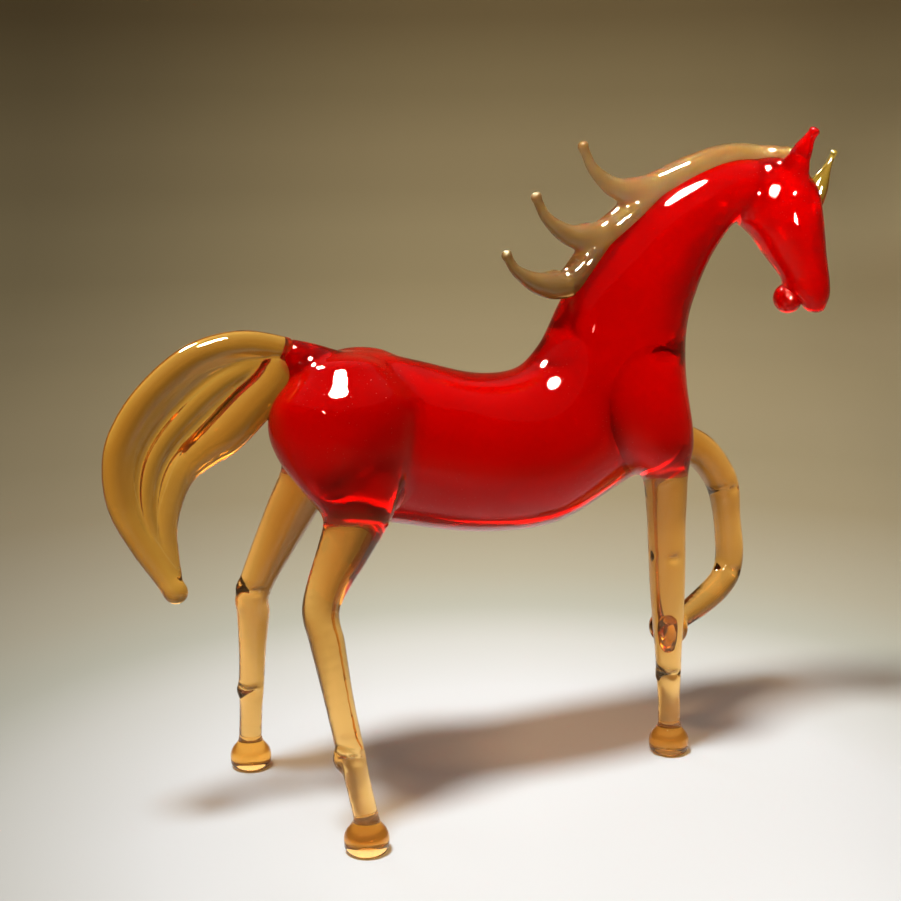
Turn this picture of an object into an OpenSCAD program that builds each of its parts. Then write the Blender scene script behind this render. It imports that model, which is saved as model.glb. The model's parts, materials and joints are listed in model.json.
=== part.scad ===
// Lampworked glass horse: red torso, head and muscle gathers, amber legs and hooves,
// smoky mane and tail. Every gather is its own solid, cut to seat on the glass it was
// fused to. Millimetres, +X towards the head, +Z up, floor at Z = 0.

/* [Torso] */
// Floor to the lowest point of the belly
belly_height = 40; // [34:0.5:46]
// Rump to the root of the neck, along the back
barrel_length = 40; // [36:0.5:46]
// Belly to the dip of the back
barrel_depth = 24; // [21:0.5:27]
// Width of the barrel at its widest
barrel_width = 21; // [18:0.5:24]
// Rise of the croup above the dip of the back
croup_rise = 5; // [3:0.25:7]
// Depth of the chest across the base of the neck
chest_depth = 31; // [28:0.5:34]

/* [Neck] */
// Height of the poll above the dip of the back
neck_rise = 27.5; // [24:0.5:31]
// Forward reach of the poll from the root of the neck
neck_reach = 35.5; // [32:0.5:39]
// Depth of the neck at mid length
neck_depth = 20.5; // [18:0.5:23]
// Width of the neck at mid length
neck_width = 13.5; // [11:0.5:15]
// Depth of the neck at the poll
poll_depth = 10; // [8.5:0.25:11]
// Sideways swing of the poll towards the right
neck_swing = 4; // [2:0.5:6]

/* [Head] */
// Top of the poll to the lips
head_length = 25; // [22:0.5:28]
// Depth of the head across the cheek
cheek_depth = 14; // [12.5:0.25:15.5]
// Depth of the muzzle across the lips
muzzle_depth = 8.6; // [7.5:0.1:9.5]
// Width of the head across the cheeks
head_width = 11; // [9.5:0.25:12.5]
// Width of the muzzle
muzzle_width = 7.4; // [6.5:0.1:8.5]
// Turn of the head towards the right, in degrees
head_turn = 42; // [30:1:50]
// Diameter of the lower lip, a bead behind the nose
lip_diameter = 4.7; // [4.2:0.1:5.2]

/* [Ears] */
// Length of an ear from its root inside the head to its tip
ear_length = 9; // [7:0.25:11]
// Width of the right ear at its root
right_ear_root = 6.8; // [6:0.1:7.6]
// Width of the slimmer left ear at its root
left_ear_root = 4; // [3.4:0.1:4.6]
// Diameter of the drawn tip of the right ear
ear_tip = 1.7; // [1.3:0.1:2]
// Distance between the roots of the two ears
ear_gap = 5.6; // [4.6:0.2:6.4]

/* [Mane] */
// Thickness of a lock where it lies on the crest
lock_thickness = 3.4; // [2.8:0.1:4]
// Width of a lock where it lies on the crest
lock_width = 4.6; // [3.8:0.1:5.4]
// Diameter of a lock near its drawn tip
lock_tip = 1.6; // [1.2:0.1:2]
// Reach of a free lock behind the crest
lock_reach = 12; // [10:0.5:14]
// Rise of a lock's tip above the place where it leaves the crest
lock_rise = 6; // [4:0.5:8]

/* [Tail] */
// Length of the red dock that carries the tail
dock_length = 6.5; // [5:0.25:8]
// Diameter of the dock
dock_diameter = 6; // [5:0.1:6.6]
// Reach of the tail behind the dock
tail_reach = 25.5; // [22:0.5:28]
// Drop of the tail's tip below the dock
tail_drop = 33; // [29:0.5:36]
// Diameter of the outer strand
strand_diameter = 4; // [3.4:0.1:4.4]
// Diameter of the inner lock at its fullest
inner_lock_diameter = 6.3; // [5.4:0.1:6.8]
// Thickness of the pressed fan between the strands
fan_thickness = 2.2; // [1.6:0.1:2.8]
// Depth of the flutes pressed into the fan
flute_depth = 0.45; // [0.2:0.05:0.6]

/* [Hind legs] */
// Fore and aft width of a haunch at its fullest
haunch_width = 22.5; // [20:0.5:25]
// Distance from the middle of the torso to the outside of a haunch
haunch_reach = 13; // [12:0.25:14.5]
// Distance of the left hip ahead of the right one
left_hip_ahead = 5; // [3:0.5:6]
// Distance that the left haunch leans back on its way to the seam
left_haunch_lean = 5.5; // [4:0.5:6]
// Rise of the seam between the right haunch and its amber leg above the belly
right_seam_rise = 6.5; // [5:0.5:8]
// Rise of the seam between the left haunch and its amber leg above the belly
left_seam_rise = 10; // [8:0.5:11]
// Diameter of a hind leg at its seam
hind_seam_diameter = 10; // [9:0.25:11]
// Distance of the right hock behind its hoof
right_hock_back = 4; // [2:0.5:5]
// Distance of the left hock behind its hoof
left_hock_back = 0.5; // [0:0.5:2]
// Height of the right hock
right_hock_height = 35; // [31:0.5:37]
// Height of the left hock
left_hock_height = 31.5; // [29:0.5:35]
// Fore and aft width of a hock
hock_width = 5.5; // [4.8:0.1:6.2]
// Distance of a hind hoof from the middle plane
hind_spread = 17.5; // [15:0.5:20]
// Distance of the right hind hoof behind its hip
hind_hoof_back = 3; // [1:0.5:5]
// Distance of the left hind hoof behind the right one
hind_stagger = 6; // [0:0.5:8]

/* [Forelegs] */
// Distance from the middle of the torso to the outside of a shoulder
shoulder_reach = 12.25; // [11.5:0.25:13.5]
// Fore and aft width of a shoulder at its fullest
shoulder_width = 16.5; // [14:0.5:18]
// Rise of the seam between the right shoulder and its amber leg above the belly
fore_seam_rise = 7.5; // [6:0.5:9]
// Diameter of a foreleg at its seam
fore_seam_diameter = 7.2; // [6.4:0.1:8]
// Width of a foreleg at the knee
knee_width = 6; // [5.2:0.1:6.6]
// Height of the right knee
right_knee_height = 34; // [31:0.5:36]
// Distance of the right fore hoof ahead of its seam
fore_hoof_ahead = 3; // [1:0.5:5]
// Height of the raised leg's seam above the right one
raised_seam_rise = 2.8; // [2:0.2:4]
// Forward reach of the raised left knee from its seam
raised_reach = 14; // [12:0.5:16]
// Drop of the raised knee below its seam
raised_knee_drop = 10.8; // [9:0.2:12]
// Drop of the raised pastern below the raised knee
raised_drop = 20; // [17:0.5:22]
// Distance that the raised pastern is folded back behind its knee
raised_fold = 13; // [11:0.5:14]
// Distance that the raised pastern turns in from its knee
raised_inward = 7; // [5:0.5:8]

/* [Lower legs and hooves] */
// Height of the fetlocks above the floor
fetlock_height = 14; // [12:0.5:16]
// Diameter of the cannon above the fetlock
cannon_diameter = 4.3; // [3.8:0.1:4.8]
// Diameter of the pastern where it meets the hoof
pastern_diameter = 3.7; // [3.2:0.1:4.2]
// Diameter of a hoof bead
hoof_diameter = 6.5; // [5.6:0.1:7.2]
// Diameter of the flat sole
sole_diameter = 5.2; // [4.4:0.1:5.5]
// Height of a hoof bead
hoof_height = 5; // [4.2:0.1:5.6]
// How far a pinched joint stands out of the leg
pinch_rise = 1.4; // [0.8:0.1:1.8]

/* [Hidden] */

red_glass = [0.72, 0.02, 0.02];
amber_glass = [0.86, 0.62, 0.22];
hoof_glass = [0.78, 0.44, 0.06];
smoky_glass = [0.62, 0.52, 0.33];
tail_glass = [0.74, 0.58, 0.28];
olive_glass = [0.60, 0.50, 0.12];

RIGHT = -1;
LEFT = 1;
BACK = -1;
FRONT = 1;

// Stations of the legs that carry a pinched joint
hock = 2;
hind_fetlock = 5;
knee = 2;
fore_fetlock = 5;
raised_knee_at = 3;
raised_fetlock_at = 6;

// Facets round a section and splits between stations
torso_sides = 22;
head_sides = 16;
lip_sides = 10;
muscle_sides = 18;
leg_sides = 12;
rod_sides = 10;
pinch_sides = 8;
splits = 3;
drop_angles = [30, 55, 75];
fan_steps = 9;

// Lofting: a station is [centre, half axis u, half axis v] as nine numbers

function unit(v) = v / norm(v);
function mix(a, b, t) = a + (b - a) * t;
function centre(s) = [s[0], s[1], s[2]];
function axis_u(s) = [s[3], s[4], s[5]];
function axis_v(s) = [s[6], s[7], s[8]];
function station(c, u, v) = concat(c, u, v);
function last(list) = list[len(list) - 1];
function reverse(list) = [for (i = [len(list) - 1:-1:0]) list[i]];

function curve_point(a, b, c, d, t) =
    0.5 * (2 * b + (c - a) * t + (2 * a - 5 * b + 4 * c - d) * t * t
    + (3 * b - a - 3 * c + d) * t * t * t);

// A smooth curve through the stations, with the given splits between them
function smooth(list, n = splits) = [
    for (i = [0:len(list) - 2])
        for (j = [0:n - 1])
            curve_point(list[max(i - 1, 0)], list[i], list[i + 1],
                list[min(i + 2, len(list) - 1)], j / n),
    last(list)
];

// A level section at a height
function slice(x, y, z, half_x, half_y) = station([x, y, z], [half_x, 0, 0], [0, half_y, 0]);

// Stations square to a path of [point, half height, half width]
function rod(path) = [
    for (i = [0:len(path) - 1]) let (
        before = path[max(i - 1, 0)][0],
        after = path[min(i + 1, len(path) - 1)][0],
        along = unit(after - before),
        across = unit([0, 1, 0] - along * along[1]),
        upright = cross(along, across)
    ) station(path[i][0], upright * path[i][1], across * path[i][2])
];

function ring(s, sides) = [
    for (k = [0:sides - 1])
        centre(s) + axis_u(s) * cos(360 * k / sides) + axis_v(s) * sin(360 * k / sides)
];

// Direction in which a line of stations leaves its start and its end
function start_way(line) = unit(centre(line[0]) - centre(line[1]));
function end_way(line) = unit(centre(last(line)) - centre(line[len(line) - 2]));

// Sections that close a station like a drop of the given height
function drop(s, way, height) = [
    for (q = drop_angles)
        station(centre(s) + way * height * sin(q), axis_u(s) * cos(q), axis_v(s) * cos(q))
];

// A line of stations with a drop at either end, or a flat end where its height is 0
function ended(line, start_drop, end_drop) = concat(
    start_drop > 0 ? reverse(drop(line[0], start_way(line), start_drop)) : [],
    line,
    end_drop > 0 ? drop(last(line), end_way(line), end_drop) : []
);

// A closed skin over equal rings, with a fan to a point at each end
module skin(rings, start, end) {
    sides = len(rings[0]);
    count = len(rings);
    middle = (rings[0][0] + rings[0][sides / 2]) / 2;
    next_middle = (rings[1][0] + rings[1][sides / 2]) / 2;
    quarter = floor(sides / 4);
    turn = cross(rings[0][0] - middle, rings[0][quarter] - middle) * (next_middle - middle);
    at = function(i, k) 2 + i * sides + k % sides;
    faces = concat(
        [for (k = [0:sides - 1]) [0, at(0, k), at(0, k + 1)]],
        [for (k = [0:sides - 1]) [1, at(count - 1, k + 1), at(count - 1, k)]],
        [for (i = [0:count - 2]) for (k = [0:sides - 1])
            [at(i, k), at(i + 1, k), at(i, k + 1)]],
        [for (i = [0:count - 2]) for (k = [0:sides - 1])
            [at(i, k + 1), at(i + 1, k), at(i + 1, k + 1)]]
    );
    polyhedron(
        concat([start, end], [for (r = rings) for (p = r) p]),
        turn < 0 ? [for (f = faces) reverse(f)] : faces
    );
}

module loft(line, sides, start_drop = 0, end_drop = 0) {
    skin(
        [for (s = ended(line, start_drop, end_drop)) ring(s, sides)],
        centre(line[0]) + start_way(line) * start_drop,
        centre(last(line)) + end_way(line) * end_drop
    );
}

// Torso and neck, drawn from one gather

rump_x = 0;
back_z = belly_height + barrel_depth;
croup_z = back_z + croup_rise;
right_seam_height = belly_height + right_seam_rise;
left_seam_height = belly_height + left_seam_rise;
fore_seam_height = belly_height + fore_seam_rise;
neck_root_x = rump_x + barrel_length;
poll = [neck_root_x + neck_reach, -neck_swing, back_z + neck_rise];

// A section of the barrel between a point of the back and a point of the belly
function barrel(top_share, top_z, belly_share, belly_z, half_width) = let (
    top = [rump_x + barrel_length * top_share, 0, top_z],
    belly = [rump_x + barrel_length * belly_share, 0, belly_z]
) station((top + belly) / 2, (top - belly) / 2, [0, half_width, 0]);

// A section of the neck by shares of its reach, rise and swing, leaning back by an angle
function neck(reach, rise, swing, lean, depth, width) = station(
    [neck_root_x + neck_reach * reach, -neck_swing * swing, back_z + neck_rise * rise],
    [-sin(lean), 0, cos(lean)] * depth / 2,
    [0, width / 2, 0]
);

barrel_stations = [
    barrel(0.00, back_z + 0.3 * croup_rise, 0.00, back_z - 0.35 * barrel_depth, 0.27 * barrel_width),
    barrel(0.17, croup_z, 0.12, belly_height + 0.25 * barrel_depth, 0.45 * barrel_width),
    barrel(0.42, back_z + 0.7 * croup_rise, 0.40, belly_height + 0.10 * barrel_depth, 0.50 * barrel_width),
    barrel(0.70, back_z + 0.1 * croup_rise, 0.70, belly_height, 0.52 * barrel_width),
    barrel(0.90, back_z + 0.15 * croup_rise, 1.00, belly_height, 0.52 * barrel_width)
];

neck_stations = [
    neck(0.15, -0.28, 0.00, 22, 0.85 * chest_depth, 0.98 * barrel_width),
    neck(0.33, -0.07, 0.00, 33, 0.98 * chest_depth, 0.92 * barrel_width),
    neck(0.435, 0.165, 0.05, 37, 0.94 * chest_depth, mix(barrel_width, neck_width, 0.5)),
    neck(0.50, 0.445, 0.20, 31, 1.07 * neck_depth, 1.04 * neck_width),
    neck(0.60, 0.665, 0.40, 17, 0.89 * neck_depth, 0.92 * neck_width),
    neck(0.73, 0.85, 0.60, 3, 0.70 * neck_depth, 0.82 * neck_width),
    neck(0.87, 0.97, 0.82, -10, 1.10 * poll_depth, 0.90 * poll_depth),
    neck(1.00, 1.00, 1.00, -20, 0.90 * poll_depth, 0.84 * poll_depth)
];

torso_line = smooth(concat(barrel_stations, neck_stations));
rump_drop = 0.12 * barrel_width;
poll_drop = 0.2 * poll_depth;

// Top of the neck, from the withers at 0 to the poll at 1
function crest(t) = let (
    i = (len(barrel_stations) + (len(neck_stations) - 1) * t) * splits,
    a = floor(i),
    s = mix(torso_line[a], torso_line[min(a + 1, len(torso_line) - 1)], i - a)
) centre(s) + axis_u(s);

module torso_form() loft(torso_line, torso_sides, rump_drop, poll_drop);

// Head, turned on the poll

function turned(p) = [
    p[0] * cos(head_turn) + p[1] * sin(head_turn),
    p[1] * cos(head_turn) - p[0] * sin(head_turn),
    p[2]
];
function on_head(s) = station(turned(centre(s)) + poll, turned(axis_u(s)), turned(axis_v(s)));

head_top = 0.2 * head_length;

// A level section of the head at a share of its length below the top
function head_slice(t, back, face, half_width) =
    slice((back + face) / 2, 0, head_top - t * head_length, (face - back) / 2, half_width);

// A section of the nose, by shares of the muzzle's depth and width
function nose_slice(t, face, depth, width) = head_slice(
    t, face * cheek_depth - depth * muzzle_depth, face * cheek_depth, width * muzzle_width / 2
);

head_line = [for (s = smooth([
    head_slice(0.03, -0.03 * cheek_depth, 0.34 * cheek_depth, 0.18 * head_width),
    head_slice(0.12, -0.19 * cheek_depth, 0.56 * cheek_depth, 0.33 * head_width),
    head_slice(0.24, -0.31 * cheek_depth, 0.68 * cheek_depth, 0.43 * head_width),
    head_slice(0.38, -0.315 * cheek_depth, 0.73 * cheek_depth, 0.50 * head_width),
    head_slice(0.50, -0.085 * cheek_depth, 0.76 * cheek_depth, 0.45 * head_width),
    head_slice(0.64, 0.107 * cheek_depth, 0.793 * cheek_depth, 0.38 * head_width),
    nose_slice(0.76, 0.83, 0.895, 0.92),
    nose_slice(0.85, 0.843, 0.75, 0.87),
    nose_slice(0.944, 0.80, 0.43, 0.62)
])) on_head(s)];
crown_drop = 0.03 * head_length;
nose_drop = 0.04 * head_length;

// The lower lip is a bead on the back of the nose, and the mouth is the cleft between them
lip = [0.84 * cheek_depth - 0.745 * muzzle_depth, 0, head_top - 0.892 * head_length];
lip_stretch = [1, 1.15, 1];

module lower_lip()
    translate(poll)
        rotate([0, 0, -head_turn])
            translate(lip)
                scale(lip_stretch)
                    sphere(d = lip_diameter, $fn = lip_sides);

module head_form() {
    loft(head_line, head_sides, crown_drop, nose_drop);
    lower_lip();
}

// Ears, flared at the root and drawn out to a thin tip with a bead

function ear_line(root, way, width, tip) = let (
    at = function(t, size, flatness) [root + way * t * ear_length, size / 2, flatness * size / 2],
    neck = 0.43 * width
) [
    for (s = smooth(rod([
        at(0.00, width, 0.59),
        at(0.34, 0.88 * width, 0.60),
        at(0.54, 0.62 * width, 0.71),
        at(0.67, neck, 0.79),
        at(0.82, mix(tip, neck, 0.3), 0.92),
        at(1.00, tip, 1)
    ]), 2)) on_head(s)
];
right_ear_foot = [0.36 * cheek_depth, -0.44 * ear_gap, 0.01 * head_length];
left_ear_foot = [0.55 * cheek_depth, 0.5 * ear_gap, -0.12 * head_length];
right_ear_way = unit([0.37, -0.06, 0.93]);
left_ear_way = unit([0.371, 0.169, 0.913]);
left_ear_tip = ear_tip * left_ear_root / right_ear_root;
right_ear_line = ear_line(right_ear_foot, right_ear_way, right_ear_root, ear_tip);
left_ear_line = ear_line(left_ear_foot, left_ear_way, left_ear_root, left_ear_tip);

module ear_form(line, tip) loft(line, rod_sides, 0, 0.5 * tip);

// Mane: each lock lies along the crest, then leaves it in a rising curl

crest_lift = 0.25 * lock_thickness;

function on_crest(t, fullness) = [
    crest(t) + [0, 0, crest_lift], fullness * lock_thickness / 2, fullness * lock_width / 2
];

// A free stretch of a lock, behind and above its foot by shares of its reach and rise
function lock_line(lying, leave, reach, rise) = let (
    foot = crest(leave) + [0, 0, 1.6 * crest_lift],
    free = function(back, up, thickness, width) [
        foot + [-back * reach * lock_reach, 0, up * rise * lock_rise], thickness / 2, width / 2
    ]
) smooth(rod(concat(lying, [
    free(0, 0, 1.35 * lock_thickness, 0.95 * lock_width),
    free(0.26, -0.10, 1.35 * lock_thickness, 0.85 * lock_width),
    free(0.55, 0.00, 0.95 * lock_thickness, 0.65 * lock_width),
    free(0.84, 0.42, 0.55 * lock_thickness, 0.42 * lock_width),
    free(0.97, 0.85, 0.95 * lock_tip, 0.95 * lock_tip),
    free(1.00, 1.00, 1.15 * lock_tip, 1.15 * lock_tip)
])), 2);

forelock = [
    turned([0.36 * cheek_depth, 0, head_top]) + poll, 0.35 * lock_thickness, 0.35 * lock_width
];
upper_lock_line = lock_line(
    [forelock, on_crest(0.97, 0.75), on_crest(0.82, 0.9), on_crest(0.68, 1.05)], 0.55, 1.05, 1.05);
middle_lock_line = lock_line([on_crest(0.62, 0.6), on_crest(0.50, 1.1)], 0.37, 1.0, 0.95);
lower_lock_line = lock_line([on_crest(0.43, 0.6), on_crest(0.31, 1.1)], 0.18, 0.93, 0.72);

module lock_form(line) loft(line, rod_sides, 0.18 * lock_thickness, 0.5 * lock_tip);

// Dock and tail: two strands drawn from the dock, with a pressed fan between them

dock_lift = 20;
dock_way = [-cos(dock_lift), 0, sin(dock_lift)];
dock_start = [rump_x + 0.75 * dock_diameter, 0, croup_z - 0.5 * croup_rise];
tail_root = dock_start + dock_way * dock_length;
dock_line = rod([
    [dock_start, 0.55 * dock_diameter, 0.55 * dock_diameter],
    [mix(dock_start, tail_root, 0.5), 0.52 * dock_diameter, 0.52 * dock_diameter],
    [tail_root, 0.46 * dock_diameter, 0.46 * dock_diameter]
]);

module dock_form() loft(smooth(dock_line, 2), rod_sides, 0, 0.25 * dock_diameter);

// A point of the tail by shares of its reach and drop
function tail_point(back, down) = tail_root + [-back * tail_reach, 0, -down * tail_drop];

outer_points = [
    tail_point(0.00, -0.03), tail_point(0.27, -0.07), tail_point(0.55, -0.02), tail_point(0.80, 0.13),
    tail_point(0.95, 0.30), tail_point(0.99, 0.445), tail_point(0.965, 0.60), tail_point(0.86, 0.77),
    tail_point(0.745, 0.915), tail_point(0.69, 0.98)
];
inner_points = [
    tail_point(0.05, 0.02), tail_point(0.12, 0.12), tail_point(0.25, 0.22), tail_point(0.39, 0.32),
    tail_point(0.52, 0.39), tail_point(0.62, 0.47), tail_point(0.685, 0.58), tail_point(0.72, 0.705),
    tail_point(0.71, 0.825), tail_point(0.69, 0.93)
];
outer_fullness = [0.9, 0.95, 1.0, 1.0, 1.0, 0.95, 0.9, 0.85, 0.8, 0.9];
inner_fullness = [0.75, 0.95, 1.0, 0.97, 0.78, 0.58, 0.50, 0.46, 0.42, 0.38];

outer_line = smooth(rod([
    for (i = [0:len(outer_points) - 1])
        [outer_points[i], outer_fullness[i] * strand_diameter / 2, outer_fullness[i] * strand_diameter / 2]
]));
inner_line = smooth(rod([
    for (i = [0:len(inner_points) - 1]) let (r = inner_fullness[i] * inner_lock_diameter / 2)
        [inner_points[i], r, 0.85 * r]
]));

// A section of the fan from a point of the outer strand to a point of the inner lock
function fan_station(outer, inner) = station((outer + inner) / 2, (outer - inner) / 2, [0, 1, 0]);
fan_start = 0.4;
fan_line = smooth(concat(
    [fan_station(mix(outer_points[0], outer_points[1], fan_start),
        mix(inner_points[0], inner_points[1], fan_start))],
    [for (i = [1:len(inner_points) - 1]) fan_station(outer_points[i], inner_points[i])]
), 2);

// A pressed section whose flutes fade out towards both ends of the fan
function fluted_ring(s, fade) = let (
    half = function(a) fan_thickness / 2 + flute_depth * fade * cos(540 * a),
    steps = [for (j = [0:fan_steps]) 1 - 2 * j / fan_steps]
) concat(
    [for (a = steps) centre(s) + axis_u(s) * a + axis_v(s) * half(a)],
    [for (a = reverse(steps)) centre(s) + axis_u(s) * a - axis_v(s) * half(a)]
);

module outer_form() loft(outer_line, rod_sides, 0.12 * strand_diameter, 0.5 * strand_diameter);
module inner_form() loft(inner_line, rod_sides, 0.08 * inner_lock_diameter, 0.05 * inner_lock_diameter);
module fan_form() {
    count = len(fan_line) - 1;
    skin(
        [for (i = [0:count]) fluted_ring(fan_line[i], sin(180 * i / count))],
        centre(fan_line[0]), centre(last(fan_line))
    );
}

// Haunches and hind legs, in level sections that share the seam

hip_x = rump_x + 0.1375 * barrel_length;
haunch_top_z = croup_z - 0.4 * croup_rise;
right_hoof_x = hip_x - hind_hoof_back;
left_hoof_x = right_hoof_x - hind_stagger;

// A section of a haunch at a share of the way down to its seam, leaning back as it goes
function haunch_slice(side, hip, lean, seam_z, t, width, reach, fullness) = slice(
    hip - lean * t * t,
    side * haunch_reach * (reach - fullness),
    mix(haunch_top_z, seam_z, t),
    width * haunch_width / 2,
    fullness * haunch_reach
);

function hind_seam(side, hip, lean, seam_z) = slice(
    hip - lean, side * (haunch_reach - 0.42 * hind_seam_diameter), seam_z,
    hind_seam_diameter / 2, 0.44 * hind_seam_diameter
);

function haunch_line(side, hip, lean, seam_z) = smooth([
    haunch_slice(side, hip, lean, seam_z, 0.00, 0.53, 0.66, 0.38),
    haunch_slice(side, hip, lean, seam_z, 0.18, 0.91, 0.93, 0.65),
    haunch_slice(side, hip, lean, seam_z, 0.40, 1.00, 1.00, 0.73),
    haunch_slice(side, hip, lean, seam_z, 0.60, 0.91, 1.00, 0.65),
    haunch_slice(side, hip, lean, seam_z, 0.80, 0.69, 1.00, 0.50),
    hind_seam(side, hip, lean, seam_z)
]);

function hind_leg_line(side, seam, hock_x, hock_z, hoof_x) = let (
    hock_y = 0.885 * haunch_reach,
    gaskin_y = 0.77 * haunch_reach,
    gaskin = mix(hind_seam_diameter, hock_width, 0.42),
    below = function(z, width) let (t = (hock_z - z) / (hock_z - hoof_height)) slice(
        mix(hock_x, hoof_x, pow(t, 1.25)), side * mix(hock_y, hind_spread, t), z, width / 2, 0.47 * width
    )
) smooth([
    seam,
    slice(mix(seam[0], hock_x, 0.44), side * gaskin_y, mix(seam[2], hock_z, 0.42),
        gaskin / 2, 0.45 * gaskin),
    below(hock_z, hock_width),
    below(mix(hock_z, fetlock_height, 0.25), 0.92 * hock_width),
    below(mix(hock_z, fetlock_height, 0.62), cannon_diameter),
    below(fetlock_height, mix(cannon_diameter, pastern_diameter, 0.4)),
    below(mix(fetlock_height, hoof_height, 0.4), pastern_diameter),
    below(hoof_height, pastern_diameter)
]);

right_haunch_line = haunch_line(RIGHT, hip_x, 0, right_seam_height);
left_haunch_line = haunch_line(LEFT, hip_x + left_hip_ahead, left_haunch_lean, left_seam_height);
right_hind_line = hind_leg_line(
    RIGHT, last(right_haunch_line), right_hoof_x - right_hock_back, right_hock_height, right_hoof_x);
left_hind_line = hind_leg_line(
    LEFT, last(left_haunch_line), left_hoof_x - left_hock_back, left_hock_height, left_hoof_x);

module haunch_form(line) loft(line, muscle_sides, 0.15 * haunch_reach, 0);

// Shoulders and forelegs: the right one stands, the left one is raised

fore_x = neck_root_x + 0.5 * neck_reach;
right_fore_hoof_x = fore_x + fore_hoof_ahead;
shoulder_top_z = back_z + 0.22 * neck_rise;

// A section of the right shoulder at a share of the way down, set back by a share of its width
function shoulder_slice(t, back, width, reach, fullness) = slice(
    fore_x - back * shoulder_width,
    RIGHT * shoulder_reach * (reach - fullness),
    mix(shoulder_top_z, fore_seam_height, t),
    width * shoulder_width / 2,
    fullness * shoulder_reach
);
right_fore_y = shoulder_reach - 0.72 * fore_seam_diameter;
right_fore_seam = slice(
    fore_x, RIGHT * right_fore_y, fore_seam_height, fore_seam_diameter / 2, fore_seam_diameter / 2
);
right_shoulder_line = smooth([
    shoulder_slice(0.00, 0.290, 0.36, 0.62, 0.245),
    shoulder_slice(0.26, 0.280, 0.82, 0.90, 0.375),
    shoulder_slice(0.57, 0.225, 1.00, 1.00, 0.425),
    shoulder_slice(0.80, 0.135, 0.80, 0.98, 0.390),
    right_fore_seam
]);

function right_fore(z, width) = let (t = (fore_seam_height - z) / (fore_seam_height - hoof_height)) slice(
    mix(fore_x, right_fore_hoof_x, t),
    RIGHT * (right_fore_y - 0.1 * shoulder_reach * t),
    z,
    width / 2,
    0.48 * width
);
right_fore_line = smooth([
    right_fore_seam,
    right_fore(mix(fore_seam_height, right_knee_height, 0.55), 1.04 * knee_width),
    right_fore(right_knee_height, knee_width),
    right_fore(mix(right_knee_height, fetlock_height, 0.35), 0.93 * knee_width),
    right_fore(mix(right_knee_height, fetlock_height, 0.80), 1.04 * cannon_diameter),
    right_fore(fetlock_height, 0.96 * cannon_diameter),
    right_fore(mix(fetlock_height, hoof_height, 0.45), pastern_diameter),
    right_fore(hoof_height, pastern_diameter)
]);

raised_seam = [
    fore_x + 0.515 * shoulder_width, 1.1 * right_fore_y, fore_seam_height + raised_seam_rise
];
raised_knee = raised_seam + [raised_reach, 0.1 * shoulder_reach, -raised_knee_drop];
raised_shoulder_rise = 0.66 * (shoulder_top_z - raised_seam[2]);
raised_shoulder = [-0.76 * shoulder_width, -0.21 * shoulder_reach, raised_shoulder_rise];

// A point of the left shoulder, by shares of the way from the seam back, in and up to its top
function left_shoulder_at(back, inward, up, height, width) = [
    raised_seam + [back * raised_shoulder[0], inward * raised_shoulder[1], up * raised_shoulder[2]],
    height * shoulder_width / 2,
    width * shoulder_reach / 2
];

// A point of the raised forearm, by shares of the way from the seam out, down and ahead to the knee
function forearm(ahead, out, down, width) = let (way = raised_knee - raised_seam) [
    raised_seam + [ahead * way[0], out * way[1], down * way[2]],
    width * fore_seam_diameter / 2,
    width * fore_seam_diameter / 2
];

// A point of the raised cannon and pastern, by shares of its fold, its turn inward and its drop
function raised(back, inward, down, width) = [
    raised_knee - [back * raised_fold, inward * raised_inward, down * raised_drop],
    width / 2,
    0.48 * width
];

// The shoulder and the leg are one run of stations, parted at the seam
raised_stations = rod([
    left_shoulder_at(1.00, 1.00, 1.00, 0.68, 0.69),
    left_shoulder_at(0.68, 0.54, 0.55, 0.94, 0.82),
    left_shoulder_at(0.34, 0.19, 0.20, 0.74, 0.74),
    forearm(0.00, 0.00, 0.00, 1.02),
    forearm(0.55, 0.40, 0.30, 0.86),
    forearm(0.84, 0.77, 0.65, 0.80),
    raised(0.00, 0.00, 0.00, 0.93 * knee_width),
    raised(-0.08, 0.00, 0.28, 0.80 * knee_width),
    raised(-0.14, 0.00, 0.57, 0.83 * knee_width),
    raised(-0.085, 0.06, 0.76, 0.82 * knee_width),
    raised(0.13, 0.26, 0.86, 0.80 * knee_width),
    raised(0.49, 0.57, 0.93, 0.76 * knee_width),
    raised(1.00, 1.00, 1.00, pastern_diameter)
]);
seam_index = 3;
left_shoulder_line = smooth([for (i = [0:seam_index]) raised_stations[i]]);
raised_line = smooth([for (i = [seam_index:len(raised_stations) - 1]) raised_stations[i]]);

// The station of a smoothed leg at one of the stations that it was drawn through
function joint(line, index) = line[index * splits];

// A pinch of glass pulled out of a joint: a short fin across a station of the leg
module pinch(s, side) {
    out = unit(axis_u(s)) * side;
    across = unit(axis_v(s));
    along = cross(out, across);
    foot = centre(s) + out * (norm(axis_u(s)) - 0.4 * pinch_rise);
    loft(smooth([
        station(foot - along * 1.6 * pinch_rise, out * 0.45 * pinch_rise, across * 0.4 * pinch_rise),
        station(foot, out * pinch_rise, across * 0.75 * pinch_rise),
        station(foot + along * 1.6 * pinch_rise, out * 0.45 * pinch_rise, across * 0.4 * pinch_rise)
    ], 2), pinch_sides, 0.4 * pinch_rise, 0.4 * pinch_rise);
}

// A hoof bead on its flat sole, turned to end at the pastern
module hoof_form() {
    belly_z = 0.42 * hoof_height;
    sole = sole_diameter / 2;
    belly = hoof_diameter / 2;
    rotate_extrude($fn = 64)
        polygon(concat(
            [[0, 0]],
            [for (a = [0:15:90]) [mix(sole, belly, sin(a)), belly_z * (1 - cos(a))]],
            [for (a = [15:15:180])
                [mix(pastern_diameter / 2, belly, (1 + cos(a)) / 2), mix(belly_z, hoof_height, a / 180)]],
            [[0, hoof_height]]
        ));
}

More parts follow.
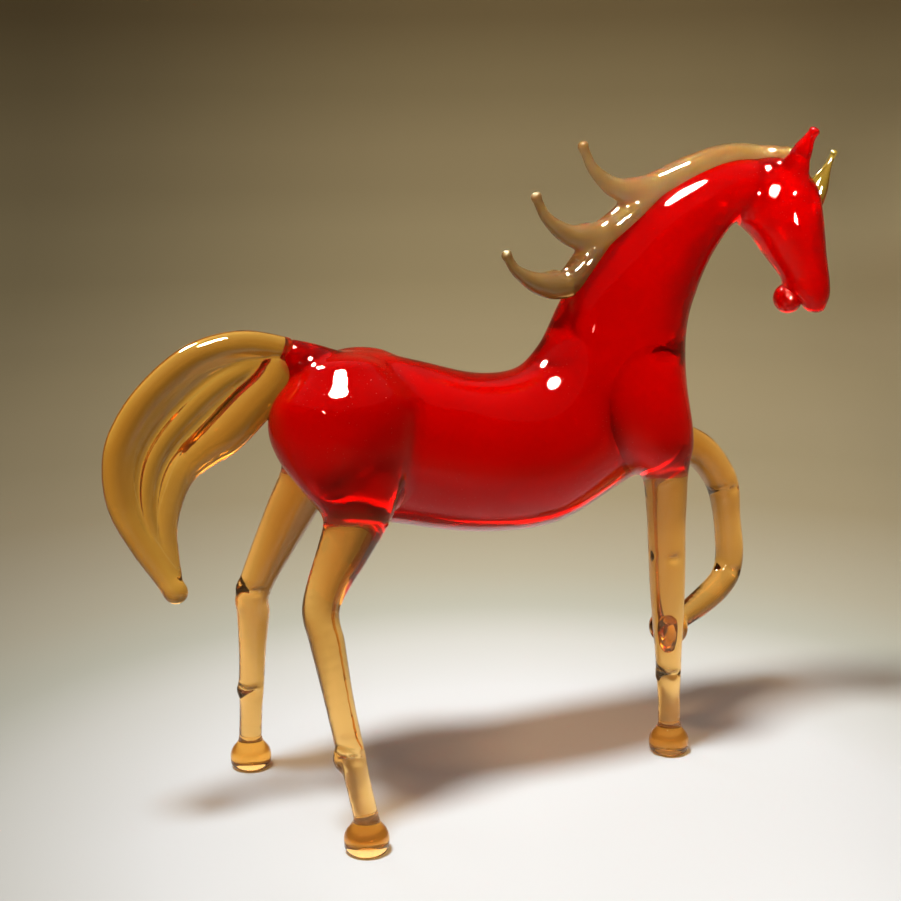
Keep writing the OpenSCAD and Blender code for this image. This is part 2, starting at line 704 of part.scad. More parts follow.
module hoof_under(line) translate([last(line)[0], last(line)[1], 0]) hoof_form();

// The raised hoof continues the line of its pastern
module hoof_beyond(line) {
    way = end_way(line);
    translate(centre(last(line)) + way * hoof_height)
        rotate([0, acos(-way[2]), atan2(-way[1], -way[0])])
            hoof_form();
}

// The part stands on the floor with its box centred on the origin
reach_rings = concat(
    [for (s = ended(head_line, crown_drop, nose_drop)) ring(s, head_sides)],
    [for (s = concat(right_ear_line, left_ear_line)) ring(s, rod_sides)],
    [for (s = raised_line) ring(s, leg_sides)],
    [for (s = outer_line) ring(s, rod_sides)]
);
reach_x = [for (r = reach_rings) for (p = r) p[0]];
middle_x = (min(reach_x) + max(reach_x)) / 2;

module placed() translate([-middle_x, 0, 0]) children();

// Sub-parts

module torso() color(red_glass) placed() torso_form();

module head() color(red_glass) placed() difference() {
    head_form();
    torso_form();
}

module right_ear() color(red_glass) placed() difference() {
    ear_form(right_ear_line, ear_tip);
    head_form();
}

module left_ear() color(olive_glass) placed() difference() {
    ear_form(left_ear_line, left_ear_tip);
    head_form();
}

module mane_lock_upper() color(smoky_glass) placed() difference() {
    lock_form(upper_lock_line);
    torso_form();
    head_form();
    ear_form(right_ear_line, ear_tip);
    ear_form(left_ear_line, left_ear_tip);
}

module mane_lock_middle() color(smoky_glass) placed() difference() {
    lock_form(middle_lock_line);
    torso_form();
    lock_form(upper_lock_line);
}

module mane_lock_lower() color(smoky_glass) placed() difference() {
    lock_form(lower_lock_line);
    torso_form();
    lock_form(middle_lock_line);
}

module right_haunch() color(red_glass) placed() difference() {
    haunch_form(right_haunch_line);
    torso_form();
}

module left_haunch() color(red_glass) placed() difference() {
    haunch_form(left_haunch_line);
    torso_form();
    haunch_form(right_haunch_line);
}

module right_shoulder() color(red_glass) placed() difference() {
    loft(right_shoulder_line, muscle_sides, 0.12 * shoulder_reach, 0);
    torso_form();
}

module left_shoulder() color(red_glass) placed() difference() {
    loft(left_shoulder_line, muscle_sides, 0.16 * shoulder_reach, 0);
    torso_form();
}

module right_hind_leg() color(amber_glass) placed() difference() {
    union() {
        loft(right_hind_line, leg_sides);
        pinch(joint(right_hind_line, hind_fetlock), BACK);
    }
    torso_form();
}

module left_hind_leg() color(amber_glass) placed() difference() {
    union() {
        loft(left_hind_line, leg_sides);
        pinch(joint(left_hind_line, hock), BACK);
        pinch(joint(left_hind_line, hind_fetlock), BACK);
    }
    torso_form();
}

module right_foreleg() color(amber_glass) placed() difference() {
    union() {
        loft(right_fore_line, leg_sides);
        pinch(joint(right_fore_line, knee), BACK);
        pinch(joint(right_fore_line, fore_fetlock), BACK);
    }
    torso_form();
}

module left_foreleg() color(amber_glass) placed() difference() {
    union() {
        loft(raised_line, leg_sides);
        pinch(joint(raised_line, raised_knee_at), FRONT);
        pinch(joint(raised_line, raised_fetlock_at), BACK);
    }
    torso_form();
}

module right_hind_hoof() color(hoof_glass) placed() hoof_under(right_hind_line);
module left_hind_hoof() color(hoof_glass) placed() hoof_under(left_hind_line);
module right_fore_hoof() color(hoof_glass) placed() hoof_under(right_fore_line);
module left_fore_hoof() color(hoof_glass) placed() hoof_beyond(raised_line);

module dock() color(red_glass) placed() difference() {
    dock_form();
    torso_form();
    haunch_form(right_haunch_line);
    haunch_form(left_haunch_line);
}

module tail_outer_strand() color(tail_glass) placed() difference() {
    outer_form();
    dock_form();
}

module tail_inner_lock() color(tail_glass) placed() difference() {
    inner_form();
    dock_form();
    outer_form();
    haunch_form(right_haunch_line);
}

module tail_fan() color(tail_glass) placed() difference() {
    fan_form();
    dock_form();
    outer_form();
    inner_form();
}

torso();
head();
right_ear();
left_ear();
mane_lock_upper();
mane_lock_middle();
mane_lock_lower();
right_haunch();
left_haunch();
right_shoulder();
left_shoulder();
right_hind_leg();
left_hind_leg();
right_foreleg();
left_foreleg();
right_hind_hoof();
left_hind_hoof();
right_fore_hoof();
left_fore_hoof();
dock();
tail_outer_strand();
tail_inner_lock();
tail_fan();
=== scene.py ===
import json
import math

import bmesh
import bpy
from mathutils import Matrix, Vector
from mathutils.bvhtree import BVHTree


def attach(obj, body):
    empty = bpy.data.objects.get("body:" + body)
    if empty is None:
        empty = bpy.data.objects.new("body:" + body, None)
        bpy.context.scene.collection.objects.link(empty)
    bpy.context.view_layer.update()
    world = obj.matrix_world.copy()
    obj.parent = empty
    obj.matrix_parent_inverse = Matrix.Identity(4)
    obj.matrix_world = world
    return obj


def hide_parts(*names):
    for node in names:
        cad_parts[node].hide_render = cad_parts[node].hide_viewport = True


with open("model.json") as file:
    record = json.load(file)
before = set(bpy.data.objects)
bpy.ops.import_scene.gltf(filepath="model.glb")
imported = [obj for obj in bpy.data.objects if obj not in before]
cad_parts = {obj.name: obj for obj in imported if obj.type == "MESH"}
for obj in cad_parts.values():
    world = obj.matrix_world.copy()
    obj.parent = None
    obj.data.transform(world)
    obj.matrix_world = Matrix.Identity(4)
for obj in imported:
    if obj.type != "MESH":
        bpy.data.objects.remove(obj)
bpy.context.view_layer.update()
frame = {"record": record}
mm = 0.001
seamGap = 0.02  # mm left between two gathers, so that no two faces lie on each other

scene = bpy.context.scene
scene.view_settings.view_transform = "Standard"


# camera, as the photo was taken: low, on the right of the horse, behind its haunch and looking a little down
bpy.ops.object.camera_add(location=(-0.09905, -0.2009, 0.1), rotation=(math.radians(78), 0, math.radians(-25)))
camera = bpy.context.object
camera.name = "photoCamera"
camera.data.lens = 59.93
camera.data.sensor_width = 36
camera.data.clip_start = 0.005
scene.camera = camera
print("camera set")


# stage: a round sweep of cream paper with painted light and shade in its colour: a darker ring behind the
# horse, warmer and taupe further out, darker towards the sides, for how the lamps' light falls off
def buildStage():
    sweep = {"rings": [0.0, 0.06, 0.12, 0.2, 0.32, 0.5, 0.7, 0.86, 0.96, 1.02, 1.05, 1.06, 1.06],
             "rises": [0, 0, 0, 0, 0, 0, 0.012, 0.06, 0.13, 0.22, 0.34, 0.55, 0.9]}
    bpy.ops.object.select_all(action="DESELECT")
    rings, rises = sweep["rings"], sweep["rises"]
    bpy.ops.mesh.primitive_circle_add(vertices=96, radius=rings[1], fill_type="NGON", enter_editmode=True)
    floor = bpy.context.object
    floor.name = "paperSweep"
    for radius, rise, nextRadius, nextRise in zip(rings[1:], rises[1:], rings[2:], rises[2:]):
        bpy.ops.mesh.extrude_region_move(TRANSFORM_OT_translate={"value": (0, 0, nextRise - rise)})
        grow = nextRadius / radius
        bpy.ops.transform.resize(value=(grow, grow, 1), center_override=(0, 0, nextRise))
    bpy.ops.mesh.delete(type="ONLY_FACE")
    bm = bmesh.from_edit_mesh(floor.data)
    inner = [v for v in bm.verts if v.co.xy.length < 0.061 and abs(v.co.z) < 1e-6]
    bpy.ops.mesh.select_all(action="DESELECT")
    for v in inner:
        v.select_set(True)
    bm.select_flush(True)
    bmesh.update_edit_mesh(floor.data)
    bpy.ops.mesh.edge_face_add()
    bpy.ops.mesh.select_all(action="SELECT")
    bpy.ops.mesh.normals_make_consistent(inside=True)
    bpy.ops.object.mode_set(mode="OBJECT")
    bpy.ops.object.shade_smooth()
    paper = bpy.data.materials.new("paper")
    paper.use_nodes = True
    tree = paper.node_tree
    shader = tree.nodes["Principled BSDF"]
    shader.inputs["Roughness"].default_value = 0.9
    shader.inputs["Specular IOR Level"].default_value = 0.1
    coord = tree.nodes.new("ShaderNodeTexCoord")
    centre = tree.nodes.new("ShaderNodeVectorMath")
    centre.operation = "DISTANCE"
    centre.inputs[1].default_value = (0, -0.02, 0)
    reach = tree.nodes.new("ShaderNodeMapRange")
    reach.inputs["From Max"].default_value = 1.1
    turn = tree.nodes.new("ShaderNodeMapping")
    turn.vector_type = "TEXTURE"
    turn.inputs["Location"].default_value = (-0.226, -0.473, 0)
    turn.inputs["Rotation"].default_value = (0, 0, math.radians(65))
    around = tree.nodes.new("ShaderNodeTexGradient")
    around.gradient_type = "RADIAL"
    side = tree.nodes.new("ShaderNodeMapRange")
    side.inputs["From Min"].default_value = 0.25
    side.inputs["From Max"].default_value = 0.75
    # painted light and shade by distance from the middle, laid over the paper's own cream
    far = tree.nodes.new("ShaderNodeValToRGB")
    # painted shade: the paper grows darker towards the sides, by the angle around the middle
    edge = tree.nodes.new("ShaderNodeValToRGB")
    paintedSideShade = ((0.28, 0.44), (0.39, 0.7), (0.436, 0.78), (0.45, 0.92), (0.466, 1), (0.493, 1),
             (0.507, 0.95), (0.521, 0.84), (0.535, 0.7), (0.55, 0.55), (0.565, 0.44))
    paintedShadeStops = {
        far: ((0.05, (0.84, 0.84, 0.84)), (0.075, (0.72, 0.71, 0.66)), (0.095, (0.55, 0.54, 0.44)),
              (0.12, (0.52, 0.47, 0.34)), (0.15, (0.49, 0.42, 0.28)), (0.19, (0.47, 0.38, 0.22)),
              (0.25, (0.52, 0.42, 0.24)), (0.31, (0.63, 0.51, 0.3)), (0.39, (0.74, 0.6, 0.35)),
              (0.5, (0.86, 0.7, 0.41)), (0.62, (0.91, 0.74, 0.42)), (0.73, (0.91, 0.74, 0.42)),
              (0.84, (0.79, 0.63, 0.35)), (0.905, (0.6, 0.47, 0.25)), (0.94, (0.43, 0.32, 0.16))),
        edge: [(place, (grey, grey, grey)) for place, grey in paintedSideShade]}
    for ramp, stops in paintedShadeStops.items():
        while len(ramp.color_ramp.elements) < len(stops):
            ramp.color_ramp.elements.new(0.5)
        for element, (place, colour) in zip(ramp.color_ramp.elements, stops):
            element.position = place
            element.color = (*colour, 1)
    # both ramps of painted shade multiplied together into the paper's colour
    paintedShadeMix = tree.nodes.new("ShaderNodeMix")
    paintedShadeMix.data_type = "RGBA"
    paintedShadeMix.blend_type = "MULTIPLY"
    paintedShadeMix.inputs["Factor"].default_value = 1
    tree.links.new(coord.outputs["Object"], centre.inputs[0])
    tree.links.new(centre.outputs["Value"], reach.inputs["Value"])
    tree.links.new(reach.outputs["Result"], far.inputs["Fac"])
    tree.links.new(coord.outputs["Object"], turn.inputs["Vector"])
    tree.links.new(turn.outputs["Vector"], around.inputs["Vector"])
    tree.links.new(around.outputs["Fac"], side.inputs["Value"])
    tree.links.new(side.outputs["Result"], edge.inputs["Fac"])
    tree.links.new(far.outputs["Color"], paintedShadeMix.inputs["A"])
    tree.links.new(edge.outputs["Color"], paintedShadeMix.inputs["B"])
    tree.links.new(paintedShadeMix.outputs["Result"], shader.inputs["Base Color"])
    # painted light: the paper glows a little, with warm emission, where it is seen through glass
    path = tree.nodes.new("ShaderNodeLightPath")  # seen through glass, the paper is a little brighter
    lift = tree.nodes.new("ShaderNodeMath")
    lift.operation = "MULTIPLY"
    lift.inputs[1].default_value = 0.12
    shader.inputs["Emission Color"].default_value = (1, 0.8, 0.55, 1)
    tree.links.new(path.outputs["Is Transmission Ray"], lift.inputs[0])
    tree.links.new(lift.outputs["Value"], shader.inputs["Emission Strength"])
    floor.data.materials.append(paper)
    print("stage built")


def buildLights():
    softboxes = [
        {"name": "keyBox", "place": (-0.14, -0.06, 0.5), "aim": (0.1, 0.2, 0.04),
         "size": 0.1, "power": 3, "spread": 180, "colour": (1, 0.985, 0.96)},
        {"name": "headBox", "place": (-0.2, -0.26, 0.13), "aim": (0.05, -0.012, 0.096),
         "size": 0.03, "power": 0.013, "spread": 11, "colour": (1, 0.98, 0.95)},
        {"name": "topGleam", "place": (-0.046, -0.094, 0.56), "aim": (-0.01, 0, 0.06),
         "size": 0.17, "power": 3.5, "spread": 60, "colour": (1, 0.98, 0.95)},
        {"name": "backGleam", "place": (-0.15, 0.32, 0.55), "aim": (-0.01, 0, 0.06),
         "size": 0.12, "power": 2, "spread": 60, "colour": (1, 0.98, 0.95)},
        {"name": "cheekGleam", "place": (-0.136, -0.2, 0.233), "aim": (0.046, -0.009, 0.091),
         "size": 0.12, "power": 0.1, "spread": 12, "colour": (1, 0.98, 0.95)},
        {"name": "noseGleam", "place": (0.013, -0.354, 0.143), "aim": (0.048, -0.012, 0.086),
         "size": 0.06, "power": 0.05, "spread": 8, "colour": (1, 0.98, 0.95)},
    ]
    for box in softboxes:
        bpy.ops.object.light_add(type="AREA", location=box["place"])
        lamp = bpy.context.object
        lamp.name = box["name"]
        lamp.data.shape = "DISK"
        lamp.data.size = box["size"]
        lamp.data.energy = box["power"]
        lamp.data.color = box["colour"]
        lamp.data.spread = math.radians(box["spread"])
        lamp.visible_glossy = "Gleam" in box["name"]
        lamp.visible_diffuse = "Gleam" not in box["name"]
        lamp.visible_transmission = "Gleam" in box["name"]
        lamp.rotation_euler = (Vector(box["aim"]) - Vector(box["place"])).to_track_quat("-Z", "Y").to_euler()
    world = bpy.data.worlds.new("room")
    world.use_nodes = True
    nodes, links = world.node_tree.nodes, world.node_tree.links
    nodes["Background"].inputs["Color"].default_value = (0.75, 0.7, 0.62, 1)
    nodes["Background"].inputs["Strength"].default_value = 0.25
    ceiling = nodes.new("ShaderNodeBackground")  # what the glass gathers from above
    ceiling.inputs["Color"].default_value = (1, 0.93, 0.82, 1)
    ceiling.inputs["Strength"].default_value = 2.5
    path = nodes.new("ShaderNodeLightPath")
    pick = nodes.new("ShaderNodeMixShader")
    links.new(path.outputs["Is Transmission Ray"], pick.inputs["Fac"])
    links.new(nodes["Background"].outputs["Background"], pick.inputs[1])
    links.new(ceiling.outputs["Background"], pick.inputs[2])
    links.new(pick.outputs["Shader"], nodes["World Output"].inputs["Surface"])
    scene.world = world
    print("lights set")


buildStage()
buildLights()


# glass: a clear coloured melt with drawn cords, a little dust and an open or fused surface
def glassFlowGroup():
    group = bpy.data.node_groups.new("glassFlow", "ShaderNodeTree")
    sockets = (("INPUT", "Color", ("Tint", "Cord Tint", "Seam Tint")), ("INPUT", "Vector", ("Stretch",)),
               ("INPUT", "Float", ("Dust",)), ("OUTPUT", "Color", ("Color",)),
               ("OUTPUT", "Float", ("Roughness", "Height", "Open")))
    for way, kind, names in sockets:
        for name in names:
            group.interface.new_socket(name, in_out=way, socket_type="NodeSocket" + kind)
    nodes, links = group.nodes, group.links
    given = nodes.new("NodeGroupInput")
    result = nodes.new("NodeGroupOutput")
    coord = nodes.new("ShaderNodeTexCoord")
    stretch = nodes.new("ShaderNodeVectorMath")
    stretch.operation = "MULTIPLY"
    cords = nodes.new("ShaderNodeTexNoise")
    cords.inputs["Scale"].default_value = 60
    cords.inputs["Detail"].default_value = 4
    streaks = nodes.new("ShaderNodeMapRange")
    streaks.inputs["From Min"].default_value = 0.45
    streaks.inputs["From Max"].default_value = 0.7
    mix = nodes.new("ShaderNodeMix")
    mix.data_type = "RGBA"
    fade = nodes.new("ShaderNodeAttribute")
    fade.attribute_name = "fade"
    thin = nodes.new("ShaderNodeMix")
    thin.data_type = "RGBA"
    dust = nodes.new("ShaderNodeTexVoronoi")
    dust.inputs["Scale"].default_value = 1400
    specks = nodes.new("ShaderNodeMapRange")
    specks.inputs["From Min"].default_value = 0.14
    specks.inputs["From Max"].default_value = 0.06
    drifts = nodes.new("ShaderNodeTexNoise")  # dust settles in drifts
    drifts.inputs["Scale"].default_value = 45
    settled = nodes.new("ShaderNodeMapRange")
    settled.inputs["From Min"].default_value = 0.5
    settled.inputs["From Max"].default_value = 0.72
    patch = nodes.new("ShaderNodeMath")
    patch.operation = "MULTIPLY"
    amount = nodes.new("ShaderNodeMath")
    amount.operation = "MULTIPLY"
    dusty = nodes.new("ShaderNodeMath")
    dusty.operation = "MULTIPLY_ADD"
    dusty.inputs[1].default_value = 0.4
    dusty.inputs[2].default_value = 0.008
    powder = nodes.new("ShaderNodeMix")
    powder.data_type = "RGBA"
    powder.inputs["B"].default_value = (0.9, 0.75, 0.68, 1)
    glaze = nodes.new("ShaderNodeAttribute")
    glaze.attribute_name = "glaze"
    openFace = nodes.new("ShaderNodeMath")
    openFace.operation = "GREATER_THAN"
    openFace.inputs[1].default_value = -seamGap
    links.new(glaze.outputs["Fac"], openFace.inputs[0])
    links.new(openFace.outputs["Value"], result.inputs["Open"])
    links.new(coord.outputs["Object"], stretch.inputs[0])
    links.new(given.outputs["Stretch"], stretch.inputs[1])
    links.new(stretch.outputs["Vector"], cords.inputs["Vector"])
    links.new(cords.outputs["Fac"], streaks.inputs["Value"])
    links.new(streaks.outputs["Result"], mix.inputs["Factor"])
    links.new(fade.outputs["Fac"], thin.inputs["Factor"])
    links.new(mix.outputs["Result"], thin.inputs["A"])
    links.new(given.outputs["Seam Tint"], thin.inputs["B"])
    links.new(given.outputs["Tint"], mix.inputs["A"])
    links.new(given.outputs["Cord Tint"], mix.inputs["B"])
    links.new(coord.outputs["Object"], dust.inputs["Vector"])
    links.new(coord.outputs["Object"], drifts.inputs["Vector"])
    links.new(dust.outputs["Distance"], specks.inputs["Value"])
    links.new(drifts.outputs["Fac"], settled.inputs["Value"])
    links.new(specks.outputs["Result"], patch.inputs[0])
    links.new(settled.outputs["Result"], patch.inputs[1])
    links.new(patch.outputs["Value"], amount.inputs[0])
    links.new(given.outputs["Dust"], amount.inputs[1])
    links.new(amount.outputs["Value"], dusty.inputs[0])
    links.new(amount.outputs["Value"], powder.inputs["Factor"])
    links.new(thin.outputs["Result"], powder.inputs["A"])
    links.new(powder.outputs["Result"], result.inputs["Color"])
    links.new(dusty.outputs["Value"], result.inputs["Roughness"])
    links.new(cords.outputs["Fac"], result.inputs["Height"])
    return group


glassFlow = glassFlowGroup()
hotMark = bpy.data.materials.new("hotMark")  # stand for open and fused faces while the gathers are shaped
fusedMark = bpy.data.materials.new("fusedMark")


def mixGlass(name, melt):
    glass = bpy.data.materials.new(name)
    glass.use_nodes = True
    nodes, links = glass.node_tree.nodes, glass.node_tree.links
    shader = nodes["Principled BSDF"]
    shader.inputs["Transmission Weight"].default_value = melt["clear"]
    shader.inputs["IOR"].default_value = 1.51
    shader.inputs["Specular Tint"].default_value = (*melt["gloss"], 1)
    shader.inputs["Subsurface Weight"].default_value = melt["cloud"]
    shader.inputs["Subsurface Radius"].default_value = melt["tint"]
    shader.inputs["Subsurface Scale"].default_value = 0.001
    flow = nodes.new("ShaderNodeGroup")
    flow.node_tree = glassFlow
    flow.inputs["Tint"].default_value = (*melt["tint"], 1)
    flow.inputs["Cord Tint"].default_value = (*melt["cordTint"], 1)
    flow.inputs["Seam Tint"].default_value = (0.97, 0.3, 0.16, 1)
    flow.inputs["Stretch"].default_value = melt["stretch"]
    flow.inputs["Dust"].default_value = melt["dust"]
    bump = nodes.new("ShaderNodeBump")
    bump.inputs["Strength"].default_value = melt["cord"]
    bump.inputs["Distance"].default_value = 0.0004
    absorb = nodes.new("ShaderNodeVolumeAbsorption")
    absorb.inputs["Color"].default_value = (*melt["absorb"], 1)
    absorb.inputs["Density"].default_value = melt["density"]
    path = nodes.new("ShaderNodeLightPath")
    unbent = nodes.new("ShaderNodeMath")  # the paper sees a tinted shade, so that no burnt spots fall on it
    unbent.operation = "MAXIMUM"
    shade = nodes.new("ShaderNodeBsdfTransparent")
    shade.inputs["Color"].default_value = (*melt["shade"], 1)
    pick = nodes.new("ShaderNodeMixShader")
    depth = nodes.new("ShaderNodeMixShader")
    links.new(flow.outputs["Color"], shader.inputs["Base Color"])
    links.new(flow.outputs["Roughness"], shader.inputs["Roughness"])
    links.new(flow.outputs["Height"], bump.inputs["Height"])
    links.new(bump.outputs["Normal"], shader.inputs["Normal"])
    links.new(flow.outputs["Open"], shader.inputs["Alpha"])
    links.new(path.outputs["Is Shadow Ray"], unbent.inputs[0])
    links.new(path.outputs["Is Diffuse Ray"], unbent.inputs[1])
    links.new(unbent.outputs["Value"], pick.inputs["Fac"])
    links.new(shader.outputs["BSDF"], pick.inputs[1])
    links.new(shade.outputs["BSDF"], pick.inputs[2])
    links.new(unbent.outputs["Value"], depth.inputs["Fac"])
    links.new(absorb.outputs["Volume"], depth.inputs[1])
    links.new(pick.outputs["Shader"], nodes["Material Output"].inputs["Surface"])
    links.new(depth.outputs["Shader"], nodes["Material Output"].inputs["Volume"])
    return glass


glasses = {
    "red_glass": mixGlass("redGlass", {
        "clear": 0.84, "cloud": 1, "gloss": (1, 0.2, 0.16),
        "tint": (1, 0.002, 0.002), "cordTint": (0.7, 0.0, 0.002),
        "stretch": (0.5, 1, 0.25), "dust": 0.8, "cord": 0.02,
        "absorb": (0.99, 0.0, 0.0), "density": 330, "shade": (0.54, 0.4, 0.29)}),
    "amber_glass": mixGlass("amberGlass", {
        "clear": 0.97, "cloud": 0, "gloss": (1, 0.85, 0.6),
        "tint": (0.98, 0.77, 0.4), "cordTint": (0.94, 0.66, 0.28),
        "stretch": (1, 1, 0.2), "dust": 0.3, "cord": 0.03,
        "absorb": (0.88, 0.6, 0.02), "density": 260, "shade": (0.7, 0.55, 0.38)}),
    "hoof_glass": mixGlass("hoofGlass", {
        "clear": 0.95, "cloud": 0, "gloss": (1, 0.8, 0.5),
        "tint": (0.99, 0.62, 0.15), "cordTint": (0.96, 0.5, 0.09),
        "stretch": (1, 1, 0.5), "dust": 0.3, "cord": 0.02,
        "absorb": (0.92, 0.55, 0.0), "density": 115, "shade": (0.6, 0.45, 0.25)}),
    "smoky_glass": mixGlass("smokyGlass", {
        "clear": 0.6, "cloud": 1, "gloss": (1, 0.92, 0.75),
        "tint": (0.6, 0.38, 0.15), "cordTint": (0.44, 0.26, 0.09),
        "stretch": (0.25, 1, 1), "dust": 0.3, "cord": 0.04,
        "absorb": (0.85, 0.62, 0.25), "density": 100, "shade": (0.7, 0.58, 0.42)}),
    "olive_glass": mixGlass("oliveGlass", {
        "clear": 0.94, "cloud": 0, "gloss": (1, 0.92, 0.7),
        "tint": (0.78, 0.6, 0.12), "cordTint": (0.6, 0.42, 0.06),
        "stretch": (1, 1, 0.3), "dust": 0.2, "cord": 0.03,
        "absorb": (0.7, 0.55, 0.05), "density": 200, "shade": (0.45, 0.36, 0.15)}),
    "tail_glass": mixGlass("tailGlass", {
        "clear": 0.96, "cloud": 0, "gloss": (1, 0.85, 0.55),
        "tint": (0.96, 0.62, 0.14), "cordTint": (0.7, 0.38, 0.05),
        "stretch": (0.5, 1, 0.5), "dust": 0.3, "cord": 0.05,
        "absorb": (0.86, 0.5, 0.02), "density": 150, "shade": (0.65, 0.5, 0.32)}),
}
print("glass mixed")


# drawing a gather: rings of hot glass set along its line and bridged, with a drop at a free end
def levelSlices(rows):
    return [(Vector((x, y, z)), Vector((halfX, 0, 0)), Vector((0, halfY, 0))) for x, y, z, halfX, halfY in rows]


def rodStations(rows):
    points = [Vector(row[:3]) for row in rows]
    stations = []
    for i, row in enumerate(rows):
        along = (points[min(i + 1, len(rows) - 1)] - points[max(i - 1, 0)]).normalized()
        across = (Vector((0, 1, 0)) - along * along.y).normalized()
        stations.append((points[i], along.cross(across) * row[3], across * row[4]))
    return stations


def easeStations(stations, cuts):
    eased = []
    count = len(stations)
    for i in range(count - 1):
        a, b, c, d = (stations[max(i - 1, 0)], stations[i], stations[i + 1], stations[min(i + 2, count - 1)])
        for j in range(cuts):
            t = j / cuts
            eased.append(tuple(
                0.5 * (2 * b[k] + (c[k] - a[k]) * t + (2 * a[k] - 5 * b[k] + 4 * c[k] - d[k]) * t ** 2
                       + (3 * b[k] - a[k] - 3 * c[k] + d[k]) * t ** 3) for k in range(3)))
    eased.append(stations[-1])
    return eased


def dropRings(station, way, height):
    place, u, v = station
    angles = [math.radians(a) for a in (12, 24, 36, 48, 60, 70, 79, 86)]
    return [(place + way * height * math.sin(a), u * math.cos(a), v * math.cos(a)) for a in angles]


def drawGather(name, stations, sides=32, cuts=5, startDrop=0, endDrop=0, section=None):
    line = easeStations(stations, cuts)
    startWay = (line[0][0] - line[1][0]).normalized()
    endWay = (line[-1][0] - line[-2][0]).normalized()
    if startDrop:
        line = list(reversed(dropRings(line[0], startWay, startDrop))) + line
    if endDrop:
        line = line + dropRings(line[-1], endWay, endDrop)
    bpy.ops.object.select_all(action="DESELECT")
    bpy.ops.object.add(type="MESH", enter_editmode=True)
    gather = bpy.context.object
    gather.name = name
    gather.data.materials.append(hotMark)
    gather.data.materials.append(fusedMark)
    for i, (place, u, v) in enumerate(line):
        bpy.ops.mesh.select_all(action="DESELECT")
        bpy.ops.mesh.primitive_circle_add(vertices=sides, radius=1)
        bm = bmesh.from_edit_mesh(gather.data)
        bm.verts.ensure_lookup_table()
        for vert in bm.verts[-sides:]:
            x, y = section(vert.co.x, vert.co.y, i / (len(line) - 1)) if section else vert.co.xy
            vert.co = (place + u * x + v * y) * mm
        for vert in bm.verts[-2 * sides:]:
            vert.select_set(True)
        bm.select_flush(True)
        bmesh.update_edit_mesh(gather.data)
        if i:
            bpy.ops.mesh.bridge_edge_loops()
    for first, flat in ((True, not startDrop), (False, not endDrop)):
        bm = bmesh.from_edit_mesh(gather.data)
        bm.verts.ensure_lookup_table()
        bpy.ops.mesh.select_all(action="DESELECT")
        for vert in (bm.verts[:sides] if first else bm.verts[(len(line) - 1) * sides:len(line) * sides]):
            vert.select_set(True)
        bm.select_flush(True)
        bmesh.update_edit_mesh(gather.data)
        bpy.ops.mesh.edge_face_add()
        if flat:  # a flat end is a seam to the next gather
            gather.active_material_index = 1
            bpy.ops.object.material_slot_assign()
        bpy.ops.mesh.poke()
    bpy.ops.mesh.select_all(action="SELECT")
    bpy.ops.mesh.normals_make_consistent(inside=False)
    bpy.ops.object.mode_set(mode="OBJECT")
    bpy.ops.object.shade_smooth()
    return gather


def applyAll(piece):
    bpy.ops.object.select_all(action="DESELECT")
    bpy.context.view_layer.objects.active = piece
    piece.select_set(True)
    for modifier in list(piece.modifiers):
        bpy.ops.object.modifier_apply(modifier=modifier.name)


def copyForm(form, name):
    bpy.ops.object.select_all(action="DESELECT")
    bpy.context.view_layer.objects.active = form
    form.select_set(True)
    bpy.ops.object.duplicate()
    twin = bpy.context.object
    twin.name = name
    return twin


def dropForms(twins):
    for twin in twins:
        mesh = twin.data
        bpy.data.objects.remove(twin)
        bpy.data.meshes.remove(mesh)


def join(piece, tool, operation):
    modifier = piece.modifiers.new(operation.lower(), "BOOLEAN")
    modifier.operation = operation
    modifier.object = tool
    modifier.solver = "MANIFOLD"
    modifier.material_mode = "TRANSFER"
    applyAll(piece)


forms, cold, zones = {}, {}, {}  # finished gathers, gathers as laid on, and the reach of each when melted


def mix(a, b, t):
    return a + (b - a) * t


# torso: sections of the barrel from back to belly, then of the neck up to the poll, by shares of sizes in mm
barrel = {"rump": -29.15, "belly": 40, "length": 40, "depth": 24, "width": 21, "croup": 5, "chest": 31}
neck = {"rise": 27.5, "reach": 35.5, "depth": 20.5, "width": 13.5, "poll": 10, "swing": 4}
backZ = barrel["belly"] + barrel["depth"]
croupZ = backZ + barrel["croup"]
neckRootX = barrel["rump"] + barrel["length"]
poll = Vector((neckRootX + neck["reach"], -neck["swing"], backZ + neck["rise"]))
barrelShares = [  # along the back, rise by the croup, along the belly, rise by the depth, half width
    (0, 0.3, 0, 0.65, 0.27), (0.17, 1, 0.12, 0.25, 0.45), (0.42, 0.7, 0.4, 0.1, 0.5),
    (0.7, 0.1, 0.7, 0, 0.52), (0.9, 0.15, 1, 0, 0.52)]
neckShares = [  # reach, rise, swing, lean in degrees, depth and width in mm
    (0.15, -0.28, 0, 22, 0.85 * barrel["chest"], 0.98 * barrel["width"]),
    (0.33, -0.07, 0, 33, 0.98 * barrel["chest"], 0.92 * barrel["width"]),
    (0.435, 0.165, 0.05, 37, 0.94 * barrel["chest"], mix(barrel["width"], neck["width"], 0.5)),
    (0.5, 0.445, 0.2, 31, 1.07 * neck["depth"], 1.04 * neck["width"]),
    (0.6, 0.665, 0.4, 17, 0.89 * neck["depth"], 0.92 * neck["width"]),
    (0.73, 0.85, 0.6, 3, 0.7 * neck["depth"], 0.82 * neck["width"]),
    (0.87, 0.97, 0.82, -10, 1.1 * neck["poll"], 0.9 * neck["poll"]),
    (1, 1, 1, -20, 0.9 * neck["poll"], 0.84 * neck["poll"])]
torsoStations = []
